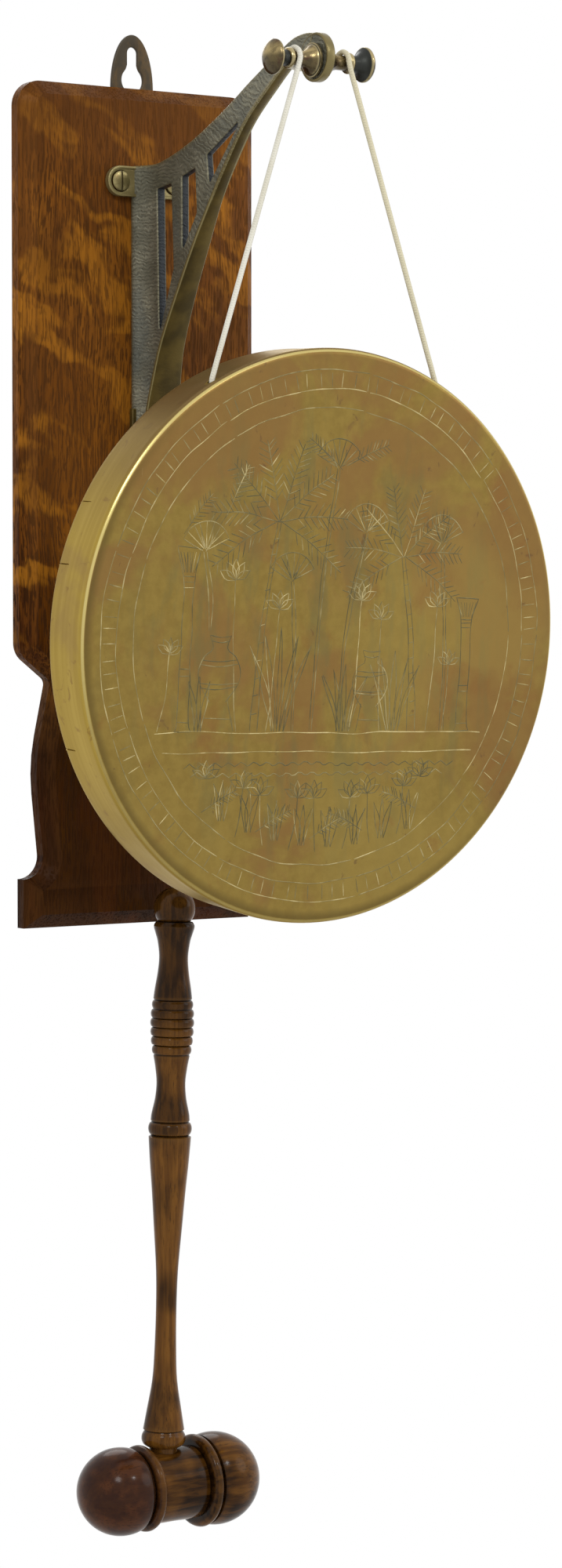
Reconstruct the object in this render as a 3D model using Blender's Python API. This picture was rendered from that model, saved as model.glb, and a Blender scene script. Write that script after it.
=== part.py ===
"""A wall-hung dinner gong with its mallet.

An oak board hangs on the wall by a keyhole plate. A cast openwork bracket on the
board carries a turned brass spool, the gong dish hangs from the spool on one
cord, and a turned mallet hangs from a hook on the foot of the board.

The origin is where the wall screw's shank rests in the keyhole plate, on the wall.
+X is to the right, +Y goes into the wall and +Z is up. Lengths are in metres.
Heights are measured from the board's top edge, where one empty carries all the rest.
"""

import math

import bmesh
import bpy
from mathutils import Matrix, Vector

MM = 0.001
GAP = 0.3 * MM
SHARP_ANGLE = math.radians(32)

# How far a cutter runs past the face that it cuts, and how far it reaches to either side of a plate
OVERRUN = 1 * MM
CUTTER_REACH = 12 * MM

# The board, whose top edge hangs this far from the wall screw's shank
BOARD_TOP = -17 * MM
BOARD_WIDTH = 130 * MM
BOARD_HEIGHT = 392 * MM
BOARD_THICK = 12 * MM
BOARD_CHAMFER = 6.5 * MM
BOARD_TOP_RADIUS = 12 * MM
SHOULDER_Z = -264.4 * MM
SHOULDER_RADIUS = 10 * MM
WAIST_Z = -277.2 * MM
WAIST_HALF = 48.4 * MM
WAIST_RADIUS = 4 * MM
BELLY_Z = -316 * MM
BELLY_HALF = 56.8 * MM
BELLY_RADIUS = 85 * MM
NECK_HALF = 51.3 * MM
COVE_RADIUS = 10.4 * MM
FOOT_WIDTH = 126 * MM
FOOT_HEIGHT = 22.8 * MM

# The keyhole plate let into the back of the board
HANGER_WIDTH = 23 * MM
HANGER_THICK = 2 * MM
HANGER_TOP = 25.7 * MM
HANGER_BOTTOM = -34 * MM
HANGER_CORNER = 4 * MM
KEYHOLE_RADIUS = 6 * MM
KEYHOLE_Z = 4.4 * MM
KEYHOLE_SHOULDER = (0.5 * MM, 5.7 * MM)
KEYSLOT_START = 7.2 * MM
KEYSLOT_WIDTH = 5.8 * MM
KEYSLOT_TOP = -BOARD_TOP + KEYSLOT_WIDTH / 2
HANGER_SCREW_Z = (-13 * MM, -27 * MM)
HANGER_SCREW_HEAD = 3.6 * MM
HANGER_SCREW_SINK = 1.7 * MM
HANGER_SCREW_LENGTH = 10.5 * MM
HANGER_SCREW_TURN = math.radians(35)

# The spool axis, from which the gong hangs, and the boss, whose middle is a little higher
SPOOL_Y = -153 * MM
SPOOL_Z = -3.4 * MM
BOSS_Z = -2 * MM
BOSS_RADIUS = 10.8 * MM
BOSS_THICK = 4.3 * MM
BOSS_SEGMENTS = 36
SPOOL_FLANGE_RADIUS = 7.6 * MM
SPOOL_FLANGE_THICK = 1.1 * MM
SPOOL_FLARE_START = 1.6 * MM
SPOOL_FLARE_LENGTH = 6.2 * MM
SPOOL_FLARE_RISE = 3.4 * MM
SPOOL_FLARE_POWER = 2.2
STUD_RADIUS = 2.2 * MM
STUD_HALF = 11 * MM
NECK_RADIUS = 3.3 * MM
NECK_X = 12.6 * MM

# The bead beyond the neck, and then the hollow and the domed end disc as (along, radius)
SPOOL_NECK_END = 14 * MM
SPOOL_BEAD_X = 15.5 * MM
SPOOL_BEAD_RADIUS = 1.4 * MM
SPOOL_END = (
    (17.6, 3.5),
    (19.6, 3.9),
    (21.6, 5.6),
    (22.7, 7.6),
    (23.3, 7.8),
    (24.1, 7.6),
    (25.5, 6.0),
    (26.6, 3.4),
    (27.0, 0.0),
)

# The right half of the spool is turned this much longer than the left
SPOOL_STRETCH = {-1: 1.0, 1: 1.07}

# The bracket
BRACKET_BACK = -(BOARD_THICK + GAP)
LUG_THICK = 3 * MM
LUG_FRONT = BRACKET_BACK - LUG_THICK
LUG_HALF_SPAN = 21.8 * MM
LUG_TOP = -37.4 * MM
LUG_BOTTOM = -51.6 * MM
LUG_SCREW_X = 14.7 * MM
LUG_SCREW_Z = -44.5 * MM
TAIL_HALF = 8.8 * MM
TAIL_TOP = -150 * MM
TAIL_BOTTOM = -213 * MM
TAIL_SCREW_Z = -203.5 * MM
FLANGE_HALF = 7.8 * MM
FLANGE_THICK = 1.5 * MM
FLARE_DEPTH = 13 * MM
FLARE_POWER = 1.8
FLARE_STEPS = 8
WEB_HALF_BACK = 2.4 * MM
WEB_HALF_FRONT = 1.8 * MM
WEB_THIN_DEPTH = 60 * MM
WEB_LOW = -240 * MM
WEB_HIGH = 40 * MM
STRAP_THICK = 2 * MM

# How far from the spool axis the web starts to thicken for the boss, and is thick, and ends
ARM_THICKENS = 22 * MM
ARM_THICK_FROM = 8 * MM
ARM_END = -15 * MM
ARM_HALF = 1.95 * MM

# Wood screws, and the names and places of those in the bracket
SCREW_HEAD = 4.7 * MM
SCREW_SHANK = 2.2 * MM
SCREW_LENGTH = 12 * MM
SCREW_POINT = 2.5 * MM
SCREW_SINK = 2.3 * MM
SCREW_DOME = 0.7 * MM
SLOT_WIDTH = 1.0 * MM
SLOT_DEPTH = 1.1 * MM
BOARD_SCREWS = (
    ("bracket_screw_left", -LUG_SCREW_X, LUG_SCREW_Z, 0),
    ("bracket_screw_right", LUG_SCREW_X, LUG_SCREW_Z, math.radians(20)),
    ("bracket_screw_tail", 0, TAIL_SCREW_Z, math.radians(20)),
)

# The bracket's side view, as (y, z) in millimetres
TOP_EDGE = (
    (-12.3, -37.2),
    (-28.8, -36.3),
    (-54.2, -29.2),
    (-82.3, -17.2),
    (-102.1, -7.1),
    (-129.9, 5.7),
    (-138.0, 8.5),
    (-147.0, 9.3),
    (-152.5, 8.7),
)
FRONT_EDGE = (
    (-148.0, -1.4),
    (-138.0, -1.6),
    (-131.9, -2.8),
    (-116.5, -12.9),
    (-103.0, -22.8),
    (-94.9, -30.6),
    (-78.2, -50.9),
    (-61.6, -75.8),
    (-43.7, -106.7),
    (-34.9, -125.4),
    (-28.6, -150.0),
    (-22.6, -175.0),
    (-15.4, -197.0),
)
SLOTS = (
    ((-26.5, -48.5), (-38.3, -46.9), (-40.0, -86.0), (-28.0, -116.5)),
    ((-47.1, -44.5), (-57.9, -41.5), (-59.2, -62.0), (-47.2, -79.0)),
    ((-67.4, -36.4), (-95.5, -22.5), (-69.2, -50.0)),
)
SLOT_CORNER = 0.8 * MM

# Half the strap's width down its front, as (z, half width) in millimetres
STRAP_WIDTHS = (
    (12.0, 2.2),
    (-15.0, 2.5),
    (-45.0, 2.7),
    (-60.0, 3.3),
    (-76.0, 4.4),
    (-97.0, 5.3),
    (-115.0, 6.3),
    (-134.0, 7.5),
    (-151.0, 8.8),
    (-200.0, 8.8),
)

# The gong dish
GONG_RADIUS = 127.2 * MM
GONG_DEPTH = 27 * MM
GONG_SHEET = 1.3 * MM
GONG_EDGE_RADIUS = 3 * MM
GONG_TAPER = 0.8 * MM
GONG_SHIFT = 2.6 * MM
GONG_DROP = 253 * MM
GONG_FORWARD = 3.3 * MM
GONG_TILT = math.radians(4.05)
GONG_ROLL = math.radians(-1.1)
GONG_SEGMENTS = 72
HOLE_ANGLE = math.radians(28.35)
HOLE_DEPTH = 5.6 * MM
HOLE_RADIUS = 1.9 * MM
HOLE_REACH = 4 * MM

# The cord and its knots
CORD_DIAMETER = 2.4 * MM
CORD_STEP = 6.5 * MM
BRIDGE_STEP = 3 * MM
CORD_JOIN = 0.8 * MM
WRAP_RADIUS = NECK_RADIUS + CORD_DIAMETER / 2 + GAP
STRAND_BEND = 5 * MM
STRAND_LEAN = 0.5 * MM
STRAND_END = 2.4 * MM
KNOT_RADIUS = 3.1 * MM
KNOT_LENGTH = 6.4 * MM
KNOT_TAIL = 5 * MM

# The cord's route behind the boss, left half, as (x, y, z) in millimetres from the spool axis
BRIDGE_ROUTE = (
    (-12.6, -4.8, 0.0),
    (-12.6, -4.44, 1.84),
    (-12.6, -3.4, 3.4),
    (-12.6, 0.0, 4.8),
    (-12.3, 3.5, 3.4),
    (-11.4, 5.6, 0.6),
    (-8.8, 8.6, -1.0),
    (-4.6, 12.4, -1.7),
    (0.0, 14.0, -1.8),
)

# The mallet and what it hangs on
MALLET_Y = -32 * MM
MALLET_LEAN = math.radians(1.52)
HOOK_X = 3.9 * MM
HOOK_Z = -357.2 * MM
HOOK_WIRE = 1.5 * MM
HOOK_RISE = math.radians(35)
HOOK_TIP = 15 * MM
HOOK_IN_BOARD = 9 * MM
HOOK_STRAIGHT = 3 * MM
HOOK_BEND_BACK = 0.6 * MM
HOOK_BEND_PART = 0.04

# The hook's collar, as (depth in front of its back, radius)
HOOK_COLLAR = (
    (0.0, 4.4),
    (1.2, 4.4),
    (2.6, 2.1),
    (4.2, 1.8),
)
RING_RADIUS = 5.6 * MM
RING_WIRE = 0.85 * MM
EYE_RADIUS = 4 * MM
EYE_WIRE = 0.9 * MM
EYE_SHANK = 11 * MM
EYE_STEM = 1.15 * MM
EYE_COLLAR = 2.2 * MM
EYE_BORE = 1.45 * MM
LINK_GAP = 0.4 * MM
HANDLE_TOP = -373.7 * MM
HANDLE_BALL_RADIUS = 9.8 * MM
BEADS_TOP = 53 * MM
BEAD_PITCH = 4.24 * MM
BEAD_RADII = (9.7 * MM, 10.15 * MM, 10.3 * MM, 10.15 * MM, 9.85 * MM, 9.3 * MM)
BEAD_GROOVE = 0.9 * MM
RING_BEAD = (110.2 * MM, 116.4 * MM)
RING_BEAD_RADIUS = 10.25 * MM
RING_BEAD_LOW = 8.9 * MM
HANDLE_FOOT = 268.7 * MM

# The handle's hollows and its long taper, as (height below the top, radius) in millimetres
UPPER_COVE = (
    (16.3, 8.6),
    (17.4, 9.3),
    (18.6, 9.6),
    (21.5, 8.8),
    (25.3, 7.7),
    (32.7, 6.8),
    (40.1, 7.35),
    (47.4, 8.5),
    (52.2, 9.1),
)
LOWER_COVE = (
    (79.3, 8.5),
    (84.3, 7.6),
    (91.7, 6.8),
    (99.1, 7.35),
    (106.5, 8.9),
    (109.4, 9.2),
)
TAPER = (
    (117.2, 10.0),
    (128.6, 9.2),
    (143.4, 7.9),
    (158.1, 6.8),
    (180.3, 5.2),
    (198.0, 4.85),
    (217.2, 5.15),
    (231.9, 5.9),
    (246.7, 8.3),
    (255.0, 9.7),
)
COLLAR = (
    (255.9, 9.2),
    (257.8, 10.2),
    (260.2, 10.3),
    (262.2, 9.3),
    (263.8, 6.6),
)
HEAD_X = 0 * MM
HEAD_Z = -655.4 * MM
BARREL_RADIUS = 17.1 * MM
BARREL_HALF = 12.4 * MM

# Each end of the head, which was turned by hand: the ball's radius and place, and the ring's radius
HEAD_ENDS = {
    -1: (20.5 * MM, 27.2 * MM, 20.2 * MM),
    1: (21.9 * MM, 25.0 * MM, 21.8 * MM),
}
TENON_RADIUS = 5 * MM
TENON_LENGTH = 17 * MM
TENON_OVERLAP = 6 * MM

# Sides of the turned pieces and of the bores
HANDLE_SEGMENTS = 20
HEAD_SEGMENTS = 24
SPOOL_SEGMENTS = 24
SCREW_SEGMENTS = 20
BORE_SEGMENTS = 16

# Colours as (red, green, blue), then roughness and metallic
FINISHES = {
    "oak": ((0.19, 0.075, 0.022), 0.45, 0.0),
    "mallet_wood": ((0.12, 0.045, 0.015), 0.4, 0.0),
    "bracket_bronze": ((0.16, 0.14, 0.09), 0.5, 0.9),
    "spool_brass": ((0.42, 0.31, 0.13), 0.3, 1.0),
    "screw_brass": ((0.5, 0.42, 0.22), 0.3, 1.0),
    "hanger_bronze": ((0.16, 0.1, 0.045), 0.5, 0.8),
    "gong_bronze": ((0.43, 0.32, 0.13), 0.42, 0.8),
    "cord_cotton": ((0.78, 0.74, 0.62), 0.9, 0.0),
}


def clear_scene():
    for obj in list(bpy.data.objects):
        bpy.data.objects.remove(obj, do_unlink=True)


def finish(name):
    """The Principled material of that name, made once."""
    if name in bpy.data.materials:
        return bpy.data.materials[name]
    colour, roughness, metallic = FINISHES[name]
    made = bpy.data.materials.new(name)
    made.use_nodes = True
    shader = made.node_tree.nodes["Principled BSDF"]
    shader.inputs["Base Color"].default_value = (*colour, 1)
    shader.inputs["Roughness"].default_value = roughness
    shader.inputs["Metallic"].default_value = metallic
    made.diffuse_color = (*colour, 1)
    return made


def add_object(name, data, material=None, parent=None, at=(0, 0, 0)):
    """An object under the given parent, or else under the empty on the board's top edge."""
    obj = bpy.data.objects.new(name, data)
    bpy.context.scene.collection.objects.link(obj)
    obj.location = at
    obj.parent = parent or bpy.data.objects["board_top"]
    if material:
        data.materials.append(finish(material))
    return obj


def add_mesh(name, made, material=None, parent=None, at=(0, 0, 0)):
    """An object from a bmesh, shaded smooth but for its sharp edges."""
    bmesh.ops.recalc_face_normals(made, faces=made.faces)
    data = bpy.data.meshes.new(name)
    made.to_mesh(data)
    made.free()
    data.shade_smooth()
    data.set_sharp_from_angle(angle=SHARP_ANGLE)
    return add_object(name, data, material, parent, at)


def helper(obj):
    """Marks a cutter or a part that a Boolean joins, so that it stays out of a render."""
    obj.hide_render = True
    obj.display_type = "WIRE"
    return obj


def combine(obj, operation, other):
    step = obj.modifiers.new(other.name, "BOOLEAN")
    step.operation = operation
    step.object = helper(other)


def fillet(corners, step=math.radians(12)):
    """The closed outline through (u, v, radius) corners, each rounded to its radius."""
    outline = []
    count = len(corners)
    for i, (u, v, radius) in enumerate(corners):
        here = Vector((u, v))
        before = (Vector(corners[i - 1][:2]) - here).normalized()
        after = (Vector(corners[(i + 1) % count][:2]) - here).normalized()
        if radius <= 0:
            outline.append(here)
            continue
        half = before.angle(after) / 2
        reach = radius / math.tan(half)
        centre = here + (before + after).normalized() * radius / math.sin(half)
        start = here + before * reach - centre
        turn = start.angle_signed(here + after * reach - centre)
        arcs = max(2, round(abs(turn) / step))
        for k in range(arcs + 1):
            # angle_signed runs clockwise, so the turn back is negative.
            outline.append(centre + Matrix.Rotation(-turn * k / arcs, 2) @ start)
    return outline


def smooth(points, per_span):
    """Points along a smooth curve through every given point, ends included."""
    given = [Vector(p) for p in points]
    padded = [2 * given[0] - given[1], *given, 2 * given[-1] - given[-2]]
    curve = []
    for a, b, c, d in zip(padded, padded[1:], padded[2:], padded[3:]):
        before = (c - a) * (c - b).length / ((c - b).length + (b - a).length)
        after = (d - b) * (c - b).length / ((d - c).length + (c - b).length)
        for k in range(per_span):
            t = k / per_span
            curve.append(
                b * (2 * t**3 - 3 * t**2 + 1)
                + before * (t**3 - 2 * t**2 + t)
                + c * (3 * t**2 - 2 * t**3)
                + after * (t**3 - t**2)
            )
    return [*curve, given[-1]]


def evenly(points, step):
    """Points a steady distance apart along a polyline, ends included."""
    lengths = [0.0]
    for a, b in zip(points, points[1:]):
        lengths.append(lengths[-1] + (b - a).length)
    count = max(2, round(lengths[-1] / step))
    found = []
    span = 0
    for k in range(count + 1):
        target = lengths[-1] * k / count
        while span < len(points) - 2 and lengths[span + 1] < target:
            span += 1
        part = (target - lengths[span]) / (lengths[span + 1] - lengths[span])
        found.append(points[span].lerp(points[span + 1], part))
    return found


def prism(outline, axis, low, high):
    """A bmesh of the outline, whose (u, v) are the two other axes in order, from low to high."""
    made = bmesh.new()

    def place(point, along):
        values = [point[0], point[1]]
        values.insert("XYZ".index(axis), along)
        return made.verts.new(values)

    bottom = [place(p, low) for p in outline]
    top = [place(p, high) for p in outline]
    made.faces.new(bottom)
    made.faces.new(top)
    for i in range(len(outline)):
        j = (i + 1) % len(outline)
        made.faces.new((bottom[i], bottom[j], top[j], top[i]))
    return made


def lathe(profile, axis, segments):
    """A bmesh of the (along, radius) profile turned round an axis. Radius 0 is a point on it."""
    made = bmesh.new()
    spin = {"X": (1, 2, 0), "Y": (0, 2, 1), "Z": (0, 1, 2)}[axis]
    rings = []
    for along, radius in profile:
        ring = []
        for k in range(segments if radius > 1e-7 else 1):
            turn = 2 * math.pi * k / segments
            values = [0.0, 0.0, 0.0]
            values[spin[0]] = radius * math.cos(turn)
            values[spin[1]] = radius * math.sin(turn)
            values[spin[2]] = along
            ring.append(made.verts.new(values))
        rings.append(ring)
    for first, second in zip(rings, [*rings[1:], rings[0]]):
        if len(first) == 1 and len(second) == 1:
            continue
        for k in range(segments):
            j = (k + 1) % segments
            corners = [first[k % len(first)], first[j % len(first)]]
            corners += [second[j % len(second)], second[k % len(second)]]
            made.faces.new(list(dict.fromkeys(corners)))
    return made


def arc(centre, radius, start, end, steps):
    """Points (u, v) on an arc, from one angle in degrees to another."""
    turns = [math.radians(start + (end - start) * k / steps) for k in range(steps + 1)]
    return [
        (centre[0] + radius * math.cos(turn), centre[1] + radius * math.sin(turn))
        for turn in turns
    ]


def tube(name, route, diameter, material, parent=None, at=(0, 0, 0), closed=False):
    """A round tube along the route's points."""
    data = bpy.data.curves.new(name, "CURVE")
    data.dimensions = "3D"
    data.bevel_depth = diameter / 2
    data.bevel_resolution = 2
    data.use_fill_caps = not closed
    line = data.splines.new("POLY")
    line.points.add(len(route) - 1)
    line.use_cyclic_u = closed
    for point, place in zip(line.points, route):
        point.co = (*place, 1)
    return add_object(name, data, material, parent, at)


def board_outline():
    half = BOARD_WIDTH / 2
    foot = FOOT_WIDTH / 2
    top_of_foot = -BOARD_HEIGHT + FOOT_HEIGHT
    corners = (
        (half, 0, BOARD_TOP_RADIUS),
        (half, SHOULDER_Z, SHOULDER_RADIUS),
        (WAIST_HALF, WAIST_Z, WAIST_RADIUS),
        (BELLY_HALF, BELLY_Z, BELLY_RADIUS),
        (NECK_HALF, top_of_foot, COVE_RADIUS),
        (foot, top_of_foot, 0),
        (foot, -BOARD_HEIGHT, 0),
    )
    left = [(-x, z, radius) for x, z, radius in corners]
    right = [(x, z, radius) for x, z, radius in reversed(corners)]
    return fillet(left + right)


def inset(outline, distance):
    """The outline moved inwards, with as many points, and a mitre where the inset folds over."""
    count = len(outline)
    area = sum(
        outline[i - 1].x * outline[i].y - outline[i].x * outline[i - 1].y
        for i in range(count)
    )
    side = 1 if area > 0 else -1
    moved = []
    for i, here in enumerate(outline):
        along_in = (here - outline[i - 1]).normalized()
        along_out = (outline[(i + 1) % count] - here).normalized()
        normal_in = Vector((-along_in.y, along_in.x)) * side
        normal_out = Vector((-along_out.y, along_out.x)) * side
        middle = (normal_in + normal_out).normalized()
        moved.append(here + middle * distance / max(0.3, middle.dot(normal_in)))
    folded = [nearest(outline, point) < distance - 0.02 * MM for point in moved]
    i = folded.index(False)
    for _ in range(count):
        j = (i + 1) % count
        if folded[j]:
            run = []
            while folded[j]:
                run.append(j)
                j = (j + 1) % count
            mitre = crossing(moved[i - 1], moved[i], moved[j], moved[(j + 1) % count])
            for k in run:
                moved[k] = mitre
        i = j
    return moved


def nearest(outline, point):
    """The distance from a point to the outline's sides."""
    least = math.inf
    for a, b in zip(outline, [*outline[1:], outline[0]]):
        along = b - a
        part = (point - a).dot(along) / max(along.length_squared, 1e-12)
        least = min(least, (a + along * min(1, max(0, part)) - point).length)
    return least


def crossing(a, b, c, d):
    """Where the line through a and b meets the line through c and d."""
    first = b - a
    second = d - c
    part = (c - a).cross(second) / first.cross(second)
    return a + first * part


def make_backboard():
    outline = board_outline()
    inner = inset(outline, BOARD_CHAMFER)
    made = bmesh.new()
    levels = (
        (outline, 0),
        (outline, -(BOARD_THICK - BOARD_CHAMFER)),
        (inner, -BOARD_THICK),
    )
    loops = [[made.verts.new((p.x, y, p.y)) for p in points] for points, y in levels]
    made.faces.new(loops[0])
    made.faces.new(loops[-1])
    for low, high in zip(loops, loops[1:]):
        for i in range(len(outline)):
            j = (i + 1) % len(outline)
            made.faces.new((low[i], low[j], high[j], high[i]))
    bmesh.ops.remove_doubles(made, verts=made.verts, dist=0.01 * MM)
    board = add_mesh("backboard", made, "oak")
    recess = prism(hanger_outline(GAP), "Y", -(HANGER_THICK + GAP), OVERRUN)
    combine(board, "DIFFERENCE", add_mesh("hanger_recess", recess))
    front = -BOARD_THICK - OVERRUN
    pilot = SCREW_SHANK + GAP
    for name, x, z, _ in BOARD_SCREWS:
        deepest = LUG_FRONT + SCREW_LENGTH + GAP
        bore = lathe(bore_profile(pilot, front, deepest), "Y", BORE_SEGMENTS)
        combine(board, "DIFFERENCE", add_mesh(name + "_pilot", bore, at=(x, 0, z)))
    for index, z in enumerate(HANGER_SCREW_Z):
        deepest = -HANGER_SCREW_LENGTH - GAP
        bore = lathe(bore_profile(pilot, deepest, OVERRUN), "Y", BORE_SEGMENTS)
        combine(board, "DIFFERENCE", add_mesh(f"hanger_pilot_{index}", bore, at=(0, 0, z)))
    deepest = -BOARD_THICK + HOOK_IN_BOARD + GAP
    bore = lathe(bore_profile(HOOK_WIRE + GAP, front, deepest), "Y", BORE_SEGMENTS)
    combine(board, "DIFFERENCE", add_mesh("hook_pilot", bore, at=(HOOK_X, 0, HOOK_Z)))


def bore_profile(radius, low, high):
    return [(low, 0), (low, radius), (high, radius), (high, 0)]


def make_screw(name, at, head, sink, dome, length, slot_turn, facing):
    """A slotted wood screw with its countersunk head's rim at the origin.

    Facing 1 turns the head to -Y, and facing -1 turns it to +Y.
    """
    profile = [
        (dome, 0),
        (dome * 0.75, head * 0.5),
        (0, head),
        (-sink, SCREW_SHANK),
        (-length + SCREW_POINT, SCREW_SHANK),
        (-length, 0),
    ]
    turned = [(-facing * along, radius) for along, radius in profile]
    screw = add_mesh(name, lathe(turned, "Y", SCREW_SEGMENTS), "screw_brass", at=at)
    half = SLOT_WIDTH / 2
    reach = head + OVERRUN
    corners = [(-half, -reach), (half, -reach), (half, reach), (-half, reach)]
    turned = [Matrix.Rotation(slot_turn, 2) @ Vector(corner) for corner in corners]
    depth = sorted((-facing * (dome + OVERRUN), -facing * (dome - SLOT_DEPTH)))
    slot = add_mesh(name + "_slot", prism(turned, "Y", *depth), at=at)
    combine(screw, "DIFFERENCE", slot)


def hanger_outline(margin=0.0):
    """The keyhole plate's outline: half an ellipse over straight sides and round corners."""
    half = HANGER_WIDTH / 2 + margin
    top = HANGER_TOP + margin
    low = HANGER_BOTTOM - margin + HANGER_CORNER
    side = half - HANGER_CORNER
    arch = [(half * u, top * v) for u, v in arc((0, 0), 1, 0, 180, 24)]
    left = arc((-side, low), HANGER_CORNER, 180, 270, 5)
    right = arc((side, low), HANGER_CORNER, 270, 360, 5)
    return [Vector(p) for p in [*arch, *left, *right]]


def keyhole_outline():
    """A round entry below, drawn in by two curves to the slot that holds the wall screw."""
    slot = KEYSLOT_WIDTH / 2
    right = [
        *arc((0, KEYHOLE_Z), KEYHOLE_RADIUS, -90, 42, 9),
        (slot + KEYHOLE_SHOULDER[0], KEYHOLE_Z + KEYHOLE_SHOULDER[1]),
        (slot, KEYHOLE_Z + KEYSLOT_START),
        *arc((0, KEYSLOT_TOP - slot), slot, 0, 90, 4),
    ]
    left = [(-x, z) for x, z in reversed(right[1:-1])]
    return [Vector(p) for p in right + left]


def make_hanger():
    plate = add_mesh(
        "hanger_plate",
        prism(hanger_outline(), "Y", -HANGER_THICK, 0),
        "hanger_bronze",
    )
    keyhole = prism(keyhole_outline(), "Y", -HANGER_THICK - OVERRUN, OVERRUN)
    combine(plate, "DIFFERENCE", add_mesh("keyhole", keyhole))
    names = ("hanger_screw_upper", "hanger_screw_lower")
    for name, z in zip(names, HANGER_SCREW_Z):
        sunk = lathe(
            [
                (OVERRUN, 0),
                (OVERRUN, HANGER_SCREW_HEAD + GAP),
                (0, HANGER_SCREW_HEAD + GAP),
                (-HANGER_SCREW_SINK, SCREW_SHANK + GAP),
                (-HANGER_THICK - OVERRUN, SCREW_SHANK + GAP),
                (-HANGER_THICK - OVERRUN, 0),
            ],
            "Y",
            SCREW_SEGMENTS,
        )
        combine(plate, "DIFFERENCE", add_mesh(name + "_seat", sunk, at=(0, 0, z)))
        make_screw(
            name,
            (0, 0, z),
            HANGER_SCREW_HEAD,
            HANGER_SCREW_SINK,
            0,
            HANGER_SCREW_LENGTH,
            HANGER_SCREW_TURN,
            -1,
        )


def millimetres(points):
    return [Vector([value * MM for value in point]) for point in points]


def side_view():
    """The bracket's outline in the (y, z) plane: top edge, boss end, front edge and back."""
    top = smooth(millimetres(TOP_EDGE), 4)
    front = smooth(millimetres(FRONT_EDGE), 4)
    foot = Vector((BRACKET_BACK, front[-1].y))
    return [*top, *front, foot]


def strap_strip():
    """The strap in the (y, z) plane: the front edge and the same curve a strap's thickness in."""
    front = smooth(millimetres(FRONT_EDGE), 4)
    back = []
    for i, here in enumerate(front):
        along = (front[min(i + 1, len(front) - 1)] - front[max(i - 1, 0)]).normalized()
        back.append(here + Vector((-along.y, along.x)) * STRAP_THICK)
    return [*front, *reversed(back)]


def plan_view():
    """Half the web's thickness against depth: wide on the board, flaring in to a thin web."""
    right = [Vector((FLANGE_HALF, BRACKET_BACK))]
    for k in range(FLARE_STEPS + 1):
        part = k / FLARE_STEPS
        half = WEB_HALF_BACK + (FLANGE_HALF - WEB_HALF_BACK) * (1 - part) ** FLARE_POWER
        right.append(Vector((half, BRACKET_BACK - FLANGE_THICK - FLARE_DEPTH * part)))
    right.append(Vector((WEB_HALF_FRONT, BRACKET_BACK - WEB_THIN_DEPTH)))
    right.append(Vector((WEB_HALF_FRONT, SPOOL_Y + ARM_THICKENS)))
    right.append(Vector((ARM_HALF, SPOOL_Y + ARM_THICK_FROM)))
    right.append(Vector((ARM_HALF, SPOOL_Y + ARM_END)))
    return right + [Vector((-p.x, p.y)) for p in reversed(right)]


def front_view():
    right = smooth(millimetres([(half, z) for z, half in STRAP_WIDTHS]), 3)
    return right + [Vector((-p.x, p.y)) for p in reversed(right)]


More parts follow.
